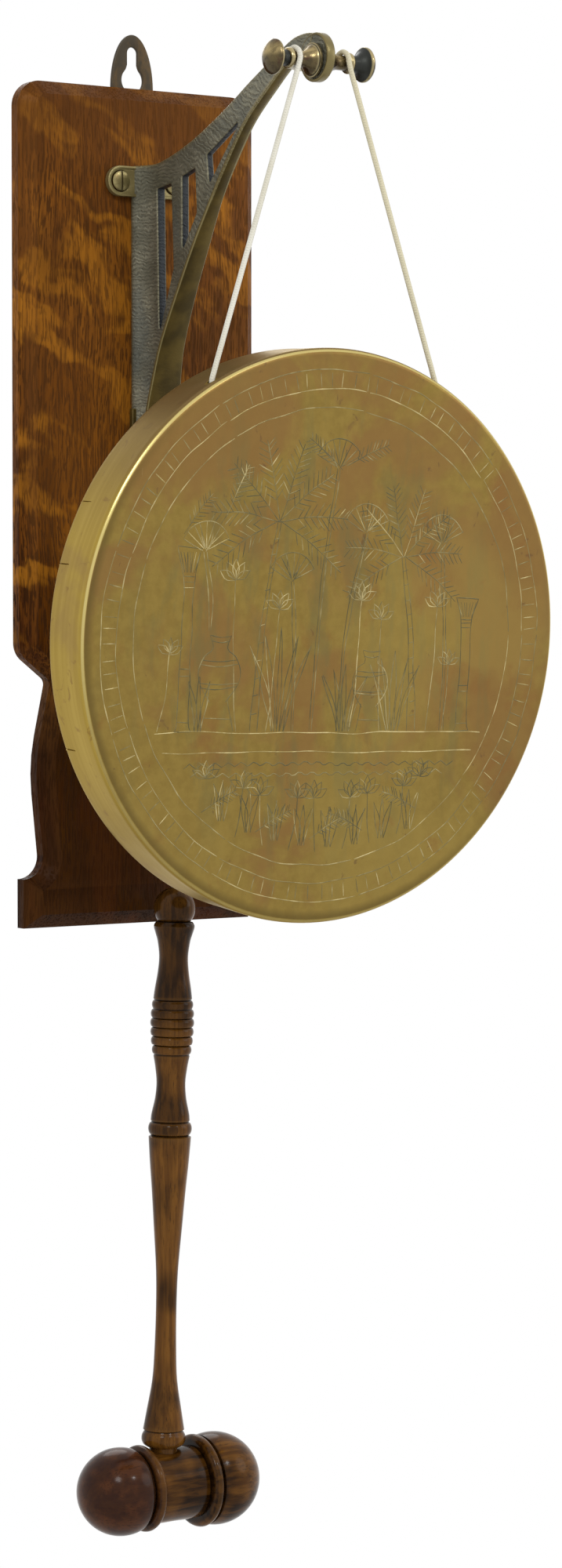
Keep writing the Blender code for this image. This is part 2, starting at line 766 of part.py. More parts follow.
def make_bracket():
    web = prism(side_view(), "X", -CUTTER_REACH, CUTTER_REACH)
    web = add_mesh("bracket", web, "bracket_bronze")
    plan = prism(plan_view(), "Z", WEB_LOW, WEB_HIGH)
    combine(web, "INTERSECT", add_mesh("web_thickness", plan))
    for index, corners in enumerate(SLOTS):
        rounded = fillet([(y * MM, z * MM, SLOT_CORNER) for y, z in corners], math.radians(45))
        slot = prism(rounded, "X", -CUTTER_REACH, CUTTER_REACH)
        combine(web, "DIFFERENCE", add_mesh(f"slot_{index + 1}", slot))
    strap = add_mesh("strap", prism(strap_strip(), "X", -CUTTER_REACH, CUTTER_REACH))
    width = prism(front_view(), "Y", SPOOL_Y - CUTTER_REACH, 0)
    combine(strap, "INTERSECT", add_mesh("strap_width", width))
    combine(web, "UNION", strap)
    boss = bore_profile(BOSS_RADIUS, -BOSS_THICK / 2, BOSS_THICK / 2)
    boss = lathe(boss, "X", BOSS_SEGMENTS)
    combine(web, "UNION", add_mesh("boss", boss, at=(0, SPOOL_Y, BOSS_Z)))
    middle = (LUG_TOP + LUG_BOTTOM) / 2
    radius = (LUG_TOP - LUG_BOTTOM) / 2
    ears = arc((LUG_HALF_SPAN - radius, middle), radius, -90, 90, 10)
    ears += arc((radius - LUG_HALF_SPAN, middle), radius, 90, 270, 10)
    lugs = prism([Vector(p) for p in ears], "Y", LUG_FRONT, BRACKET_BACK)
    combine(web, "UNION", add_mesh("lugs", lugs))
    end = arc((0, TAIL_BOTTOM + TAIL_HALF), TAIL_HALF, 180, 360, 12)
    tail = [Vector((-TAIL_HALF, TAIL_TOP)), *[Vector(p) for p in end]]
    tail.append(Vector((TAIL_HALF, TAIL_TOP)))
    combine(web, "UNION", add_mesh("tail", prism(tail, "Y", LUG_FRONT, BRACKET_BACK)))
    bore = bore_profile(STUD_RADIUS + GAP, -CUTTER_REACH, CUTTER_REACH)
    bore = lathe(bore, "X", SCREW_SEGMENTS)
    combine(web, "DIFFERENCE", add_mesh("boss_bore", bore, at=(0, SPOOL_Y, SPOOL_Z)))
    for name, x, z, slot_turn in BOARD_SCREWS:
        seat = lathe(
            [
                (-CUTTER_REACH, 0),
                (-CUTTER_REACH, SCREW_HEAD + GAP),
                (0, SCREW_HEAD + GAP),
                (SCREW_SINK, SCREW_SHANK + GAP),
                (LUG_THICK + OVERRUN, SCREW_SHANK + GAP),
                (LUG_THICK + OVERRUN, 0),
            ],
            "Y",
            SCREW_SEGMENTS,
        )
        combine(web, "DIFFERENCE", add_mesh(name + "_seat", seat, at=(x, LUG_FRONT, z)))
        make_screw(
            name,
            (x, LUG_FRONT, z),
            SCREW_HEAD,
            SCREW_SINK,
            SCREW_DOME,
            SCREW_LENGTH,
            slot_turn,
            1,
        )


def spool_profile(stretch):
    """Half the spool from the boss outwards: flange, flare, neck, bead and domed end disc."""
    start = BOSS_THICK / 2 + GAP
    flare = []
    for k in range(6):
        part = k / 5
        radius = NECK_RADIUS + SPOOL_FLARE_RISE * (1 - part) ** SPOOL_FLARE_POWER
        flare.append((start + SPOOL_FLARE_START + SPOOL_FLARE_LENGTH * part, radius))
    bore = STUD_RADIUS + GAP
    depth = STUD_HALF + GAP
    turned = [
        *flare,
        (SPOOL_NECK_END, NECK_RADIUS),
        *arc((SPOOL_BEAD_X, NECK_RADIUS), SPOOL_BEAD_RADIUS, 160, 20, 4),
        *millimetres(SPOOL_END),
    ]
    return [
        (start, bore),
        (start, SPOOL_FLANGE_RADIUS),
        (start + SPOOL_FLANGE_THICK, SPOOL_FLANGE_RADIUS),
        *[(start + (along - start) * stretch, radius) for along, radius in turned],
        (depth, 0),
        (depth, bore),
    ]


def make_spool():
    axis = (0, SPOOL_Y, SPOOL_Z)
    for name, side in (("spool_left", -1), ("spool_right", 1)):
        profile = [(side * along, radius) for along, radius in spool_profile(SPOOL_STRETCH[side])]
        add_mesh(name, lathe(profile, "X", SPOOL_SEGMENTS), "spool_brass", at=axis)
    stud = lathe(bore_profile(STUD_RADIUS, -STUD_HALF, STUD_HALF), "X", BORE_SEGMENTS)
    add_mesh("spool_stud", stud, "screw_brass", at=axis)


def dish_frame():
    """From the dish's own frame, +Y from its face to its back, to the frame at the spool axis."""
    place = Matrix.Translation((GONG_SHIFT, -GONG_FORWARD, -GONG_DROP))
    tilt = Matrix.Rotation(GONG_TILT, 4, "X")
    roll = Matrix.Rotation(GONG_ROLL, 4, "Y")
    return place @ tilt @ roll


def rim_point(side, inward=0.0):
    """A cord hole's centre on the rim, or a point that far inside it, from the spool axis."""
    turn = side * HOLE_ANGLE
    radius = GONG_RADIUS - GONG_TAPER * HOLE_DEPTH / GONG_DEPTH - inward
    local = Vector((radius * math.sin(turn), HOLE_DEPTH, radius * math.cos(turn)))
    return dish_frame() @ local


def make_gong(pivot):
    radius = GONG_RADIUS
    edge = GONG_EDGE_RADIUS
    sheet = GONG_SHEET
    outer = [(0, 0)] + [
        (edge - v, u)
        for u, v in arc((radius - edge, 0), edge, 90, 0, 4)
    ]
    inner = [
        (edge - v, u)
        for u, v in arc((radius - edge, 0), edge - sheet, 0, 90, 3)
    ]
    profile = [
        *outer,
        (GONG_DEPTH, radius - GONG_TAPER),
        (GONG_DEPTH, radius - GONG_TAPER - sheet),
        *inner,
        (sheet, 0),
    ]
    made = lathe(profile, "Y", GONG_SEGMENTS)
    made.transform(dish_frame())
    dish = add_mesh("gong_dish", made, "gong_bronze", pivot)
    for side, name in ((-1, "left"), (1, "right")):
        bend, centre, inside = strand_bend(side)
        hole = lathe(bore_profile(HOLE_RADIUS, -HOLE_REACH, HOLE_REACH), "Z", 12)
        aim = (inside - bend).to_track_quat("Z", "Y").to_matrix().to_4x4()
        hole.transform(Matrix.Translation(centre) @ aim)
        cutter = add_mesh(f"cord_hole_{name}", hole, parent=pivot)
        combine(dish, "DIFFERENCE", cutter)


def neck_place(side):
    return NECK_X * SPOOL_STRETCH[side]


def strand_start(side):
    return Vector((side * neck_place(side), -WRAP_RADIUS, -CORD_JOIN))


def strand_bend(side):
    """Where a strand starts to bend into its hole, the hole's middle and the strand's end."""
    hole = rim_point(side, GONG_SHEET / 2)
    inside = rim_point(side, GONG_SHEET / 2 + STRAND_END)
    outward = (hole - inside).normalized() * STRAND_LEAN
    bend = hole + (strand_start(side) - hole).normalized() * STRAND_BEND + outward
    return bend, hole, inside


def strand_line(side):
    """From the front of the neck straight to the rim, then through its hole to the knot."""
    bend, hole, inside = strand_bend(side)
    straight = evenly([strand_start(side), bend], CORD_STEP)
    return straight[:-1] + smooth([bend, hole, inside], 3)


def make_cord(pivot):
    for side, name in ((-1, "left"), (1, "right")):
        line = strand_line(side)
        tube(f"cord_{name}", line, CORD_DIAMETER, "cord_cotton", pivot)
        make_knot(pivot, f"cord_knot_{name}", line)
    left = millimetres(BRIDGE_ROUTE)
    stretch = neck_place(1) / neck_place(-1)
    right = [Vector((-p.x * stretch, p.y, p.z)) for p in reversed(left[:-1])]
    axis = Vector((0, SPOOL_Y, SPOOL_Z))
    line = [axis + p for p in evenly(smooth(left + right, 6), BRIDGE_STEP)]
    tube("cord_bridge", line, CORD_DIAMETER, "cord_cotton")


def make_knot(pivot, name, line):
    """A pulled-tight knot as a waisted lump with its short tail, in line with the strand."""
    start = line[-1]
    along = (line[-1] - line[-2]).normalized()
    reach = KNOT_LENGTH
    tail = CORD_DIAMETER / 2
    profile = [
        (GAP, 0),
        (GAP, KNOT_RADIUS * 0.55),
        (GAP + reach * 0.18, KNOT_RADIUS * 0.95),
        (GAP + reach * 0.36, KNOT_RADIUS),
        (GAP + reach * 0.5, KNOT_RADIUS * 0.86),
        (GAP + reach * 0.64, KNOT_RADIUS),
        (GAP + reach * 0.84, KNOT_RADIUS * 0.9),
        (GAP + reach, tail),
        (GAP + reach + KNOT_TAIL, tail),
        (GAP + reach + KNOT_TAIL, 0),
    ]
    made = lathe(profile, "Z", 12)
    made.transform(Matrix.Translation(start) @ along.to_track_quat("Z", "Y").to_matrix().to_4x4())
    add_mesh(name, made, "cord_cotton", pivot)


def link_places():
    """The hook's bend, the ring's and the eye's centres, and the mallet's pivot between them.

    Each wire rests a small gap above what it hangs on.
    """
    bend = Vector((HOOK_X, MALLET_Y, HOOK_Z))
    reach = HOOK_WIRE + RING_WIRE + LINK_GAP
    half_turn = (math.pi - HOOK_RISE) / 2
    lift = Vector((0, math.cos(half_turn), math.sin(half_turn))) * reach / math.sin(half_turn)
    bend -= Vector((0, lift.y, 0))
    ring = bend + lift - Vector((0, 0, RING_RADIUS))
    pivot = ring - Vector((0, 0, RING_RADIUS))
    eye = pivot + Vector((0, 0, RING_WIRE + EYE_WIRE + LINK_GAP - EYE_RADIUS))
    return bend, ring, pivot, eye


def make_hook():
    """A brass screw hook: shank in the board, collar, level arm and a straight rising tip."""
    bend = link_places()[0]
    back = -BOARD_THICK + HOOK_IN_BOARD
    tip = Vector((0, -math.cos(HOOK_RISE), math.sin(HOOK_RISE))) * HOOK_TIP
    route = [
        Vector((HOOK_X, back, HOOK_Z)),
        Vector((HOOK_X, -BOARD_THICK - HOOK_STRAIGHT, HOOK_Z)),
        bend + Vector((0, HOOK_BEND_BACK, 0)),
        bend + tip * HOOK_BEND_PART,
        bend + tip,
    ]
    hook = tube("mallet_hook", route, 2 * HOOK_WIRE, "screw_brass")
    collar = [(-BOARD_THICK - GAP - p.x, p.y) for p in millimetres(HOOK_COLLAR)]
    collar = [(collar[0][0], 0), *collar, (collar[-1][0], 0)]
    collar = lathe(collar, "Y", SCREW_SEGMENTS)
    view = bpy.context.evaluated_depsgraph_get()
    data = bpy.data.meshes.new_from_object(hook.evaluated_get(view))
    bpy.data.objects.remove(hook)
    hook = add_object("mallet_hook", data)
    combine(hook, "UNION", add_mesh("hook_collar", collar, at=(HOOK_X, 0, HOOK_Z)))


def circle(radius, first, second, count):
    """Points round a circle in the plane of two unit vectors, starting on the first."""
    turns = [2 * math.pi * k / count for k in range(count)]
    return [(first * math.cos(t) + second * math.sin(t)) * radius for t in turns]


def make_ring(ring_start):
    line = circle(RING_RADIUS, Vector((1, 0, 0)), Vector((0, 0, 1)), 24)
    tube("hanging_ring", line, 2 * RING_WIRE, "screw_brass", ring_start, closed=True)


def mallet_lean():
    """The mallet hangs a little out of plumb, turned about its pivot."""
    return Matrix.Rotation(MALLET_LEAN, 4, "Y")


def torus(centre, radius, wire, count, sides):
    """A bmesh ring of round wire in the (y, z) plane."""
    made = bmesh.new()
    rings = []
    for k in range(count):
        turn = 2 * math.pi * k / count
        out = Vector((0, math.cos(turn), math.sin(turn)))
        ring = []
        for s in range(sides):
            roll = 2 * math.pi * s / sides
            offset = out * math.cos(roll) + Vector((1, 0, 0)) * math.sin(roll)
            ring.append(made.verts.new(centre + out * radius + offset * wire))
        rings.append(ring)
    for first, second in zip(rings, [*rings[1:], rings[0]]):
        for s in range(sides):
            j = (s + 1) % sides
            made.faces.new((first[s], first[j], second[j], second[s]))
    return made


def make_eye(mallet_pivot):
    """A screw eye: a round loop over a small collar, on a shank that goes into the handle."""
    _, _, pivot, eye = link_places()
    place = eye - pivot
    loop = torus(place, EYE_RADIUS, EYE_WIRE, 22, 8)
    loop.transform(mallet_lean())
    screw_eye = add_mesh("mallet_screw_eye", loop, "screw_brass", mallet_pivot)
    top = place.z - EYE_RADIUS
    surface = HANDLE_TOP - pivot.z
    shank = lathe(
        [
            (top, 0),
            (top, EYE_STEM),
            (surface + 1.0 * MM, EYE_STEM),
            (surface + 0.9 * MM, EYE_COLLAR),
            (surface + GAP, EYE_COLLAR),
            (surface + GAP, EYE_STEM),
            (surface - EYE_SHANK, EYE_WIRE),
            (surface - EYE_SHANK, 0),
        ],
        "Z",
        12,
    )
    shank.transform(mallet_lean())
    combine(screw_eye, "UNION", add_mesh("eye_shank", shank, parent=mallet_pivot))


def bead(top, bottom, low, high, steps):
    """A rounded bead from one height to another, rising from one radius to another."""
    points = []
    for k in range(1, steps):
        part = k / steps
        along = top + (bottom - top) * part
        points.append((along, low + (high - low) * math.sin(math.pi * part) ** 0.6))
    return points


def handle_profile():
    """The handle from its top down, as (height below the top, radius)."""
    ball = HANDLE_BALL_RADIUS
    profile = [(0, 0)]
    for k in range(1, 7):
        turn = math.radians(90 - 132 * k / 6)
        profile.append((ball - ball * math.sin(turn), ball * math.cos(turn)))
    profile += smooth(millimetres(UPPER_COVE), 1)
    for k, high in enumerate(BEAD_RADII):
        start = BEADS_TOP + BEAD_PITCH * k
        low = high - BEAD_GROOVE
        profile += [(start, low), *bead(start, start + BEAD_PITCH, low, high, 3)]
    profile.append((BEADS_TOP + BEAD_PITCH * len(BEAD_RADII), BEAD_RADII[-1] - BEAD_GROOVE))
    profile += smooth(millimetres(LOWER_COVE), 1)
    low = RING_BEAD_LOW
    profile += [(RING_BEAD[0], low), *bead(*RING_BEAD, low, RING_BEAD_RADIUS, 4)]
    profile += [(RING_BEAD[1], low), *smooth(millimetres(TAPER), 2)]
    profile += smooth(millimetres(COLLAR), 1)
    return [*profile, (HANDLE_FOOT, profile[-1][1])]


def make_mallet(mallet_pivot):
    pivot = link_places()[2]
    top = HANDLE_TOP - pivot.z
    lean = mallet_lean()
    outline = [(top - depth, radius) for depth, radius in handle_profile()]
    outline.append((outline[-1][0], 0))
    handle = lathe(outline, "Z", HANDLE_SEGMENTS)
    handle.transform(lean)
    handle = add_mesh("mallet_handle", handle, "mallet_wood", mallet_pivot)
    centre = Vector((HEAD_X - pivot.x, 0, HEAD_Z - pivot.z))
    saddle = bore_profile(BARREL_RADIUS + GAP, -2 * CUTTER_REACH, 2 * CUTTER_REACH)
    saddle = add_mesh("saddle", lathe(saddle, "X", 48), parent=mallet_pivot, at=centre)
    combine(handle, "DIFFERENCE", saddle)
    surface = centre.z + BARREL_RADIUS
    tenon = bore_profile(TENON_RADIUS, surface - TENON_LENGTH, surface + TENON_OVERLAP)
    tenon = lathe(tenon, "Z", SCREW_SEGMENTS)
    tenon.transform(lean)
    combine(handle, "UNION", add_mesh("tenon", tenon, parent=mallet_pivot))
    bore = bore_profile(EYE_BORE, top - EYE_SHANK - OVERRUN, top + OVERRUN)
    bore = lathe(bore, "Z", 12)
    bore.transform(lean)
    combine(handle, "DIFFERENCE", add_mesh("eye_bore", bore, parent=mallet_pivot))
    head = lathe(head_profile(), "X", HEAD_SEGMENTS)
    head = add_mesh("mallet_head", head, "mallet_wood", mallet_pivot, centre)
    mortise = bore_profile(TENON_RADIUS + GAP, surface - TENON_LENGTH - GAP, surface + TENON_OVERLAP)
    mortise = lathe(mortise, "Z", SCREW_SEGMENTS)
    mortise.transform(lean)
    combine(head, "DIFFERENCE", add_mesh("mortise", mortise, parent=mallet_pivot))


def head_end(side):
    """One end of the head outwards along X: ring, groove and ball, as (distance, radius)."""
    ball, centre, ring = HEAD_ENDS[side]
    end = BARREL_HALF
    half = [(end, BARREL_RADIUS), (end + 0.6 * MM, ring - 1.6 * MM)]
    half += [(end + 1.6 * MM, ring - 0.4 * MM), (end + 2.8 * MM, ring)]
    half += [(end + 4.4 * MM, ring - 0.5 * MM), (end + 5.4 * MM, ring - 2 * MM)]
    half += [(end + 5.7 * MM, BARREL_RADIUS)]
    half += [(centre + u, v) for u, v in arc((0, 0), ball, 108, 0, 9)]
    half[-1] = (half[-1][0], 0)
    return half


def head_profile():
    """The whole head along X: ball, groove, ring, barrel, ring, groove and ball."""
    left = [(-x, r) for x, r in reversed(head_end(-1))]
    return left + head_end(1)


def build():
    clear_scene()
    top = bpy.data.objects.new("board_top", None)
    bpy.context.scene.collection.objects.link(top)
    top.location.z = BOARD_TOP
    make_backboard()
    make_hanger()
    make_bracket()
    make_spool()
    axis = (0, SPOOL_Y, SPOOL_Z)
    gong_pivot = add_object("gong_pivot", None, at=axis)
    make_gong(gong_pivot)
    make_cord(gong_pivot)
    make_hook()
    _, ring, pivot, _ = link_places()
    ring_start = add_object("ring_start", None, at=ring)
    mallet_pivot = add_object("mallet_pivot", None, at=pivot)
    make_ring(ring_start)
    make_eye(mallet_pivot)
    make_mallet(mallet_pivot)


build()
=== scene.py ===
"""The looks of a wall-hung dinner gong with its mallet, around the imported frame.

The frame's origin is where the wall screw's shank rests in the keyhole plate, on the
wall. +X is to the right, +Y goes into the wall and +Z is up. Lengths are in metres.
Shapes are made with heights from the board's top edge, and then put in the frame.
"""

import random
from math import acos, cos, degrees, hypot, pi, radians, sin, sqrt, tan

import bmesh
import bpy
import numpy
from mathutils import Matrix, Vector, noise


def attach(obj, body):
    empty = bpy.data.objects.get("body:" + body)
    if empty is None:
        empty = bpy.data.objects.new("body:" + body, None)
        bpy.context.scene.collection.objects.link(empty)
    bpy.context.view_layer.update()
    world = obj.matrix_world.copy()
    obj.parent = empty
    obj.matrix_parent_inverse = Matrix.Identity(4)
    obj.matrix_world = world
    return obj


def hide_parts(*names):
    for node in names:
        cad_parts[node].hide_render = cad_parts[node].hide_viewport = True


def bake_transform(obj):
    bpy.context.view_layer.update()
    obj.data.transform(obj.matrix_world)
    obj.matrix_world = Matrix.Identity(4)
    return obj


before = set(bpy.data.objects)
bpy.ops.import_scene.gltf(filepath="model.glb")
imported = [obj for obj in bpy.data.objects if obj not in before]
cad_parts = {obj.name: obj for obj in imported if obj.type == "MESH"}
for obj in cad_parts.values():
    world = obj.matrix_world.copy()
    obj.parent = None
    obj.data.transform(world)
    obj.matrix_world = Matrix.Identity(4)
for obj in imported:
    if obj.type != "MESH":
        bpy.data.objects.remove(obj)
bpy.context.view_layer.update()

MM = 0.001


def mm(*values):
    return [value * MM for value in values]


def vectors(points):
    """Points given in millimetres, as vectors in metres."""
    return [Vector(mm(*point)) for point in points]


GAP = 0.3 * MM
SHARP_ANGLE = radians(34)

# A lathe's point is on its axis where its radius is below this
ON_AXIS = 1e-7

# How far round the rounded end of a tube its rings are, in radians
TUBE_ENDS = (0.5, 1.0, 1.35)

# The camera, fitted to the object's own points in the photograph
PICTURE_HEIGHT = 2000
CAMERA_AZIMUTH = radians(-34.61)
CAMERA_ELEVATION = radians(2.52)
CAMERA_PLACE = (-1.0077, -1.5849, -0.2609)
FOCAL_PIXELS = 5056.6
SENSOR_HEIGHT = 36.0

# The light on everything that isn't seen directly, and the floor
WORLD_LIGHT = 0.62
FLOOR_Z = -1.0
FLOOR_HALF = 4.0
AIM = (0, -0.08, -0.33)

# The board, and half its outline from the top down as (half width, height, radius) in millimetres
BOARD_TOP, BOARD_THICK, BOARD_CHAMFER = mm(-17, 12, 6.5)
BOARD_EDGE = (
    (65, 0, 12), (65, -264.4, 10), (48.4, -277.2, 4), (56.8, -316, 85), (51.3, -369.2, 10.4),
    (63, -369.2, 0), (63, -392, 0),
)

# The keyhole plate, its keyhole and its screws
HANGER_WIDTH, HANGER_THICK, HANGER_TOP, HANGER_BOTTOM, HANGER_CORNER = mm(23, 2, 25.7, -34, 4)
KEYHOLE_RADIUS, KEYHOLE_Z, KEYSLOT_START, KEYSLOT_HALF = mm(6, 4.4, 7.2, 2.9)
KEYHOLE_SHOULDER = mm(0.5, 5.7)
HANGER_SCREWS = (("hanger_screw_upper", -13 * MM), ("hanger_screw_lower", -27 * MM))

# The screws: each kind's head radius, the depth of its cone, the height of its dome, its length
BRACKET_SCREW = mm(4.7, 2.3, 0.9, 12)
HANGER_SCREW = mm(3.6, 1.7, 0, 10.5)
SCREW_SHANK, SCREW_SLOT_HALF, SCREW_SLOT_DEPTH = mm(2.2, 0.5, 1.1)
HANGER_SCREW_TURN = radians(35)

# The spool, and the boss that carries it
SPOOL_Y, SPOOL_Z, BOSS_Z = mm(-153, -3.4, -2)
BOSS_RADIUS, BOSS_THICK, STUD_RADIUS = mm(10.8, 4.3, 2.2)
FLANGE_RADIUS, FLANGE_THICK = mm(7.6, 1.1)
FLARE_START, FLARE_LENGTH, FLARE_RISE = mm(1.6, 6.2, 3.4)
FLARE_POWER = 2.2
NECK_RADIUS, NECK_X = mm(3.3, 12.6)
STUD_DEPTH = 11.3 * MM
SPOOL_STRETCH = {-1: 1.0, 1: 1.07}
DISC_HOLLOW = ((16.95, 3.45), (17.6, 3.5), (19.6, 3.9), (21.6, 5.6), (22.55, 7.3))
DISC_DOME = ((22.8, 7.65), (23.3, 7.8), (24.1, 7.6), (25.5, 6.0), (26.6, 3.4), (27.0, 0.0))

# The bracket: its lugs, its tail and its web, which flares in from the board
BRACKET_BACK = -(BOARD_THICK + GAP)
LUG_FRONT = BRACKET_BACK - 3 * MM
LUG_HALF_SPAN, LUG_TOP, LUG_BOTTOM = mm(21.8, -37.4, -51.6)
LUG_RIM, LUG_RECESS = mm(1.5, 0.6)
TAIL_HALF, TAIL_TOP, TAIL_BOTTOM = mm(8.8, -150, -213)
FOOT_HALF, FOOT_THICK, FOOT_DEPTH = mm(7.8, 1.5, 13)
FOOT_POWER = 1.8
WEB_HALF_BACK, WEB_HALF_FRONT, WEB_THIN_DEPTH = mm(2.4, 1.8, 60)
WEB_SWELL_START, WEB_SWELL_REACH = mm(24, 16)
WEB_FILLET, WEB_FILLET_REACH, WEB_LUMP = mm(1.6, 3.2, 0.1)
WEB_GRID, WEB_SOFT, WEB_REACH = mm(1.6, 0.7, 10)
STRAP_THICK, STRAP_CROWN, STRAP_SOFT = mm(2, 0.3, 0.55)
BRACKET_SCREWS = (
    ("bracket_screw_left", -14.7 * MM, -44.5 * MM, 0),
    ("bracket_screw_right", 14.7 * MM, -44.5 * MM, radians(20)),
    ("bracket_screw_tail", 0, -203.5 * MM, radians(20)),
)

# The bracket's side view, as (y, z) in millimetres
TOP_EDGE = (
    (-12.3, -37.2), (-28.8, -36.3), (-54.2, -29.2), (-82.3, -17.2), (-102.1, -7.1), (-129.9, 5.7),
    (-138.0, 8.5), (-147.0, 9.3), (-152.5, 8.7),
)
FRONT_EDGE = (
    (-148.0, -1.4), (-138.0, -1.6), (-131.9, -2.8), (-116.5, -12.9), (-103.0, -22.8),
    (-94.9, -30.6), (-78.2, -50.9), (-61.6, -75.8), (-43.7, -106.7), (-34.9, -125.4),
    (-28.6, -150.0), (-22.6, -175.0), (-15.4, -197.0),
)
SLOTS = (
    ((-26.5, -48.5), (-38.3, -46.9), (-40.0, -86.0), (-28.0, -116.5)),
    ((-47.1, -44.5), (-57.9, -41.5), (-59.2, -62.0), (-47.2, -79.0)),
    ((-67.4, -36.4), (-95.5, -22.5), (-69.2, -50.0)),
)
SLOT_CORNER = 0.8 * MM

# Half the strap's width down its front, as (z, half width) in millimetres
STRAP_WIDTHS = (
    (12.0, 2.2), (-15.0, 2.5), (-45.0, 2.7), (-60.0, 3.3), (-76.0, 4.4), (-97.0, 5.3),
    (-115.0, 6.3), (-134.0, 7.5), (-151.0, 8.8), (-200.0, 8.8),
)

# The gong dish, how it hangs, and its two cord holes
GONG_RADIUS, GONG_DEPTH, GONG_SHEET, GONG_EDGE, GONG_TAPER = mm(127.2, 27, 1.3, 3, 0.8)
GONG_PLACE = mm(2.6, -3.3, -253)
GONG_TILT = radians(4.05)
GONG_ROLL = radians(-1.1)
HOLE_ANGLE = radians(28.35)
HOLE_DEPTH, HOLE_RADIUS, HOLE_REACH = mm(5.6, 1.9, 4)

# Angles round the rim, from the top to the left, where old cracks open its back edge
CRACKS = [radians(turn) for turn in (62.0, 75.0, 112.0)]
CRACK_REACH = 8 * MM

# The face's waves, as (scale, seed, height in millimetres), and how far inwards they grow to that
WAVES = ((17, 0.4, 0.34), (42, 7.4, 0.10))
WAVE_FADE = 18 * MM

# Millimetres of rim for each radian round it
RIM_PER_RADIAN = 127

# The engraving: its border, its ground, and its lines with their tones, in millimetres on the face
BORDER_CIRCLES = (117.6, 109.4, 101.2)
LADDER_TICKS = 112
GROUND_LINES = (-42.0, -50.5)
GROUND_SLOPE = radians(-1.9)
LINE_HALF = 0.31
LINE_STEP = 2.0
LINE_RISE, LINE_SUNK = mm(0.08, 0.04)
DARK, PALE, BRIGHT = 0.06, 0.5, 1.0

# The cord and its knots
CORD_DIAMETER, CORD_JOIN = mm(2.4, 0.8)
CORD_SIDES = 14
WRAP_RADIUS = NECK_RADIUS + CORD_DIAMETER / 2 + GAP
STRAND_BEND, STRAND_LEAN, STRAND_END = mm(5, 0.5, 2.4)
KNOT_SIDES, KNOT_STEPS, KNOT_TURNS = 12, 44, 1.85
KNOT_START, KNOT_COIL, KNOT_REACH, KNOT_TAIL_STEP = mm(0.3, 1.75, 4.2, 0.85)

# The cord's way round the left neck to behind the boss, from the spool's middle, in millimetres
BRIDGE_ROUTE = (
    (-12.6, -4.8, 0.0), (-12.6, -4.44, 1.84), (-12.6, -3.4, 3.4), (-12.6, 0.0, 4.8),
    (-12.3, 3.5, 3.4), (-11.4, 5.6, 0.6), (-8.8, 8.6, -1.0), (-4.6, 12.4, -1.7), (0.0, 14.0, -1.8),
)

# The hook, and the ring and the screw eye that the mallet hangs by
MALLET_Y = -32 * MM
HOOK_X, HOOK_Z, HOOK_WIRE, HOOK_TIP, HOOK_COLLAR = mm(3.9, -357.2, 1.5, 15, 4.4)
HOOK_RISE = radians(35)
RING_RADIUS, RING_WIRE = mm(5.6, 0.85)
EYE_RADIUS, EYE_WIRE, EYE_STEM, EYE_COLLAR = mm(4, 0.9, 1.15, 2.2)
LINK_GAP = 0.4 * MM

# The mallet's handle, with heights below its top, and curves as (height, radius) in millimetres
MALLET_LEAN = Matrix.Rotation(radians(1.52), 4, "Y")
HANDLE_TOP, HANDLE_BALL = mm(-373.7, 9.8)
BEADS_TOP, BEAD_PITCH, BEAD_GROOVE, BEAD_UNDERCUT = mm(53, 4.24, 0.9, 0.12)
BEAD_RADII = mm(9.7, 10.15, 10.3, 10.15, 9.85, 9.3)
RING_BEAD = mm(110.2, 116.4)
RING_BEAD_LOW, RING_BEAD_RADIUS, RING_BEAD_UNDERCUT = mm(8.9, 10.25, 0.15)
UPPER_COVE = (
    (16.3, 8.6), (17.4, 9.3), (18.6, 9.6), (21.5, 8.8), (25.3, 7.7), (32.7, 6.8), (40.1, 7.35),
    (47.4, 8.5), (52.2, 9.1),
)
LOWER_COVE = ((79.3, 8.5), (84.3, 7.6), (91.7, 6.8), (99.1, 7.35), (106.5, 8.9), (109.4, 9.2))
TAPER = (
    (117.2, 10.0), (128.6, 9.2), (143.4, 7.9), (158.1, 6.8), (180.3, 5.2), (198.0, 4.85),
    (217.2, 5.15), (231.9, 5.9), (246.7, 8.3), (255.0, 9.7),
)
COLLAR = ((255.9, 9.2), (257.8, 10.2), (260.2, 10.3), (262.2, 9.3), (263.8, 6.6))

# The mallet's head, and each end's ball radius, ball place and ring radius, turned by hand
HEAD_Z, BARREL_RADIUS, BARREL_HALF = mm(-655.4, 17.1, 12.4)
HEAD_ENDS = {-1: mm(20.5, 27.2, 20.2), 1: mm(21.9, 25.0, 21.8)}

# How many flat sides stand for round on the turned pieces
SPOOL_SIDES, HANDLE_SIDES, HEAD_SIDES = 80, 72, 96

FRAME_FROM_BOARD = Matrix.Translation((0, 0, BOARD_TOP))
FRAME_FROM_SPOOL = FRAME_FROM_BOARD @ Matrix.Translation((0, SPOOL_Y, SPOOL_Z))

# From the dish's own frame, +Y from its face to its back, to the frame at the spool's axis
SPOOL_FROM_DISH = (
    Matrix.Translation(GONG_PLACE)
    @ Matrix.Rotation(GONG_TILT, 4, "X")
    @ Matrix.Rotation(GONG_ROLL, 4, "Y")
)


# Outlines and curves


def clamped(value):
    """The value, or 0 or 1 where it is below or above them."""
    return min(1, max(0, value))


def looped(points):
    """Each point with the next, and the last with the first."""
    return zip(points, [*points[1:], points[0]])


def left_of(way):
    return Vector((-way.y, way.x))


def way_past(points, i):
    """The direction of an open line at one of its points."""
    return (points[min(i + 1, len(points) - 1)] - points[max(i - 1, 0)]).normalized()


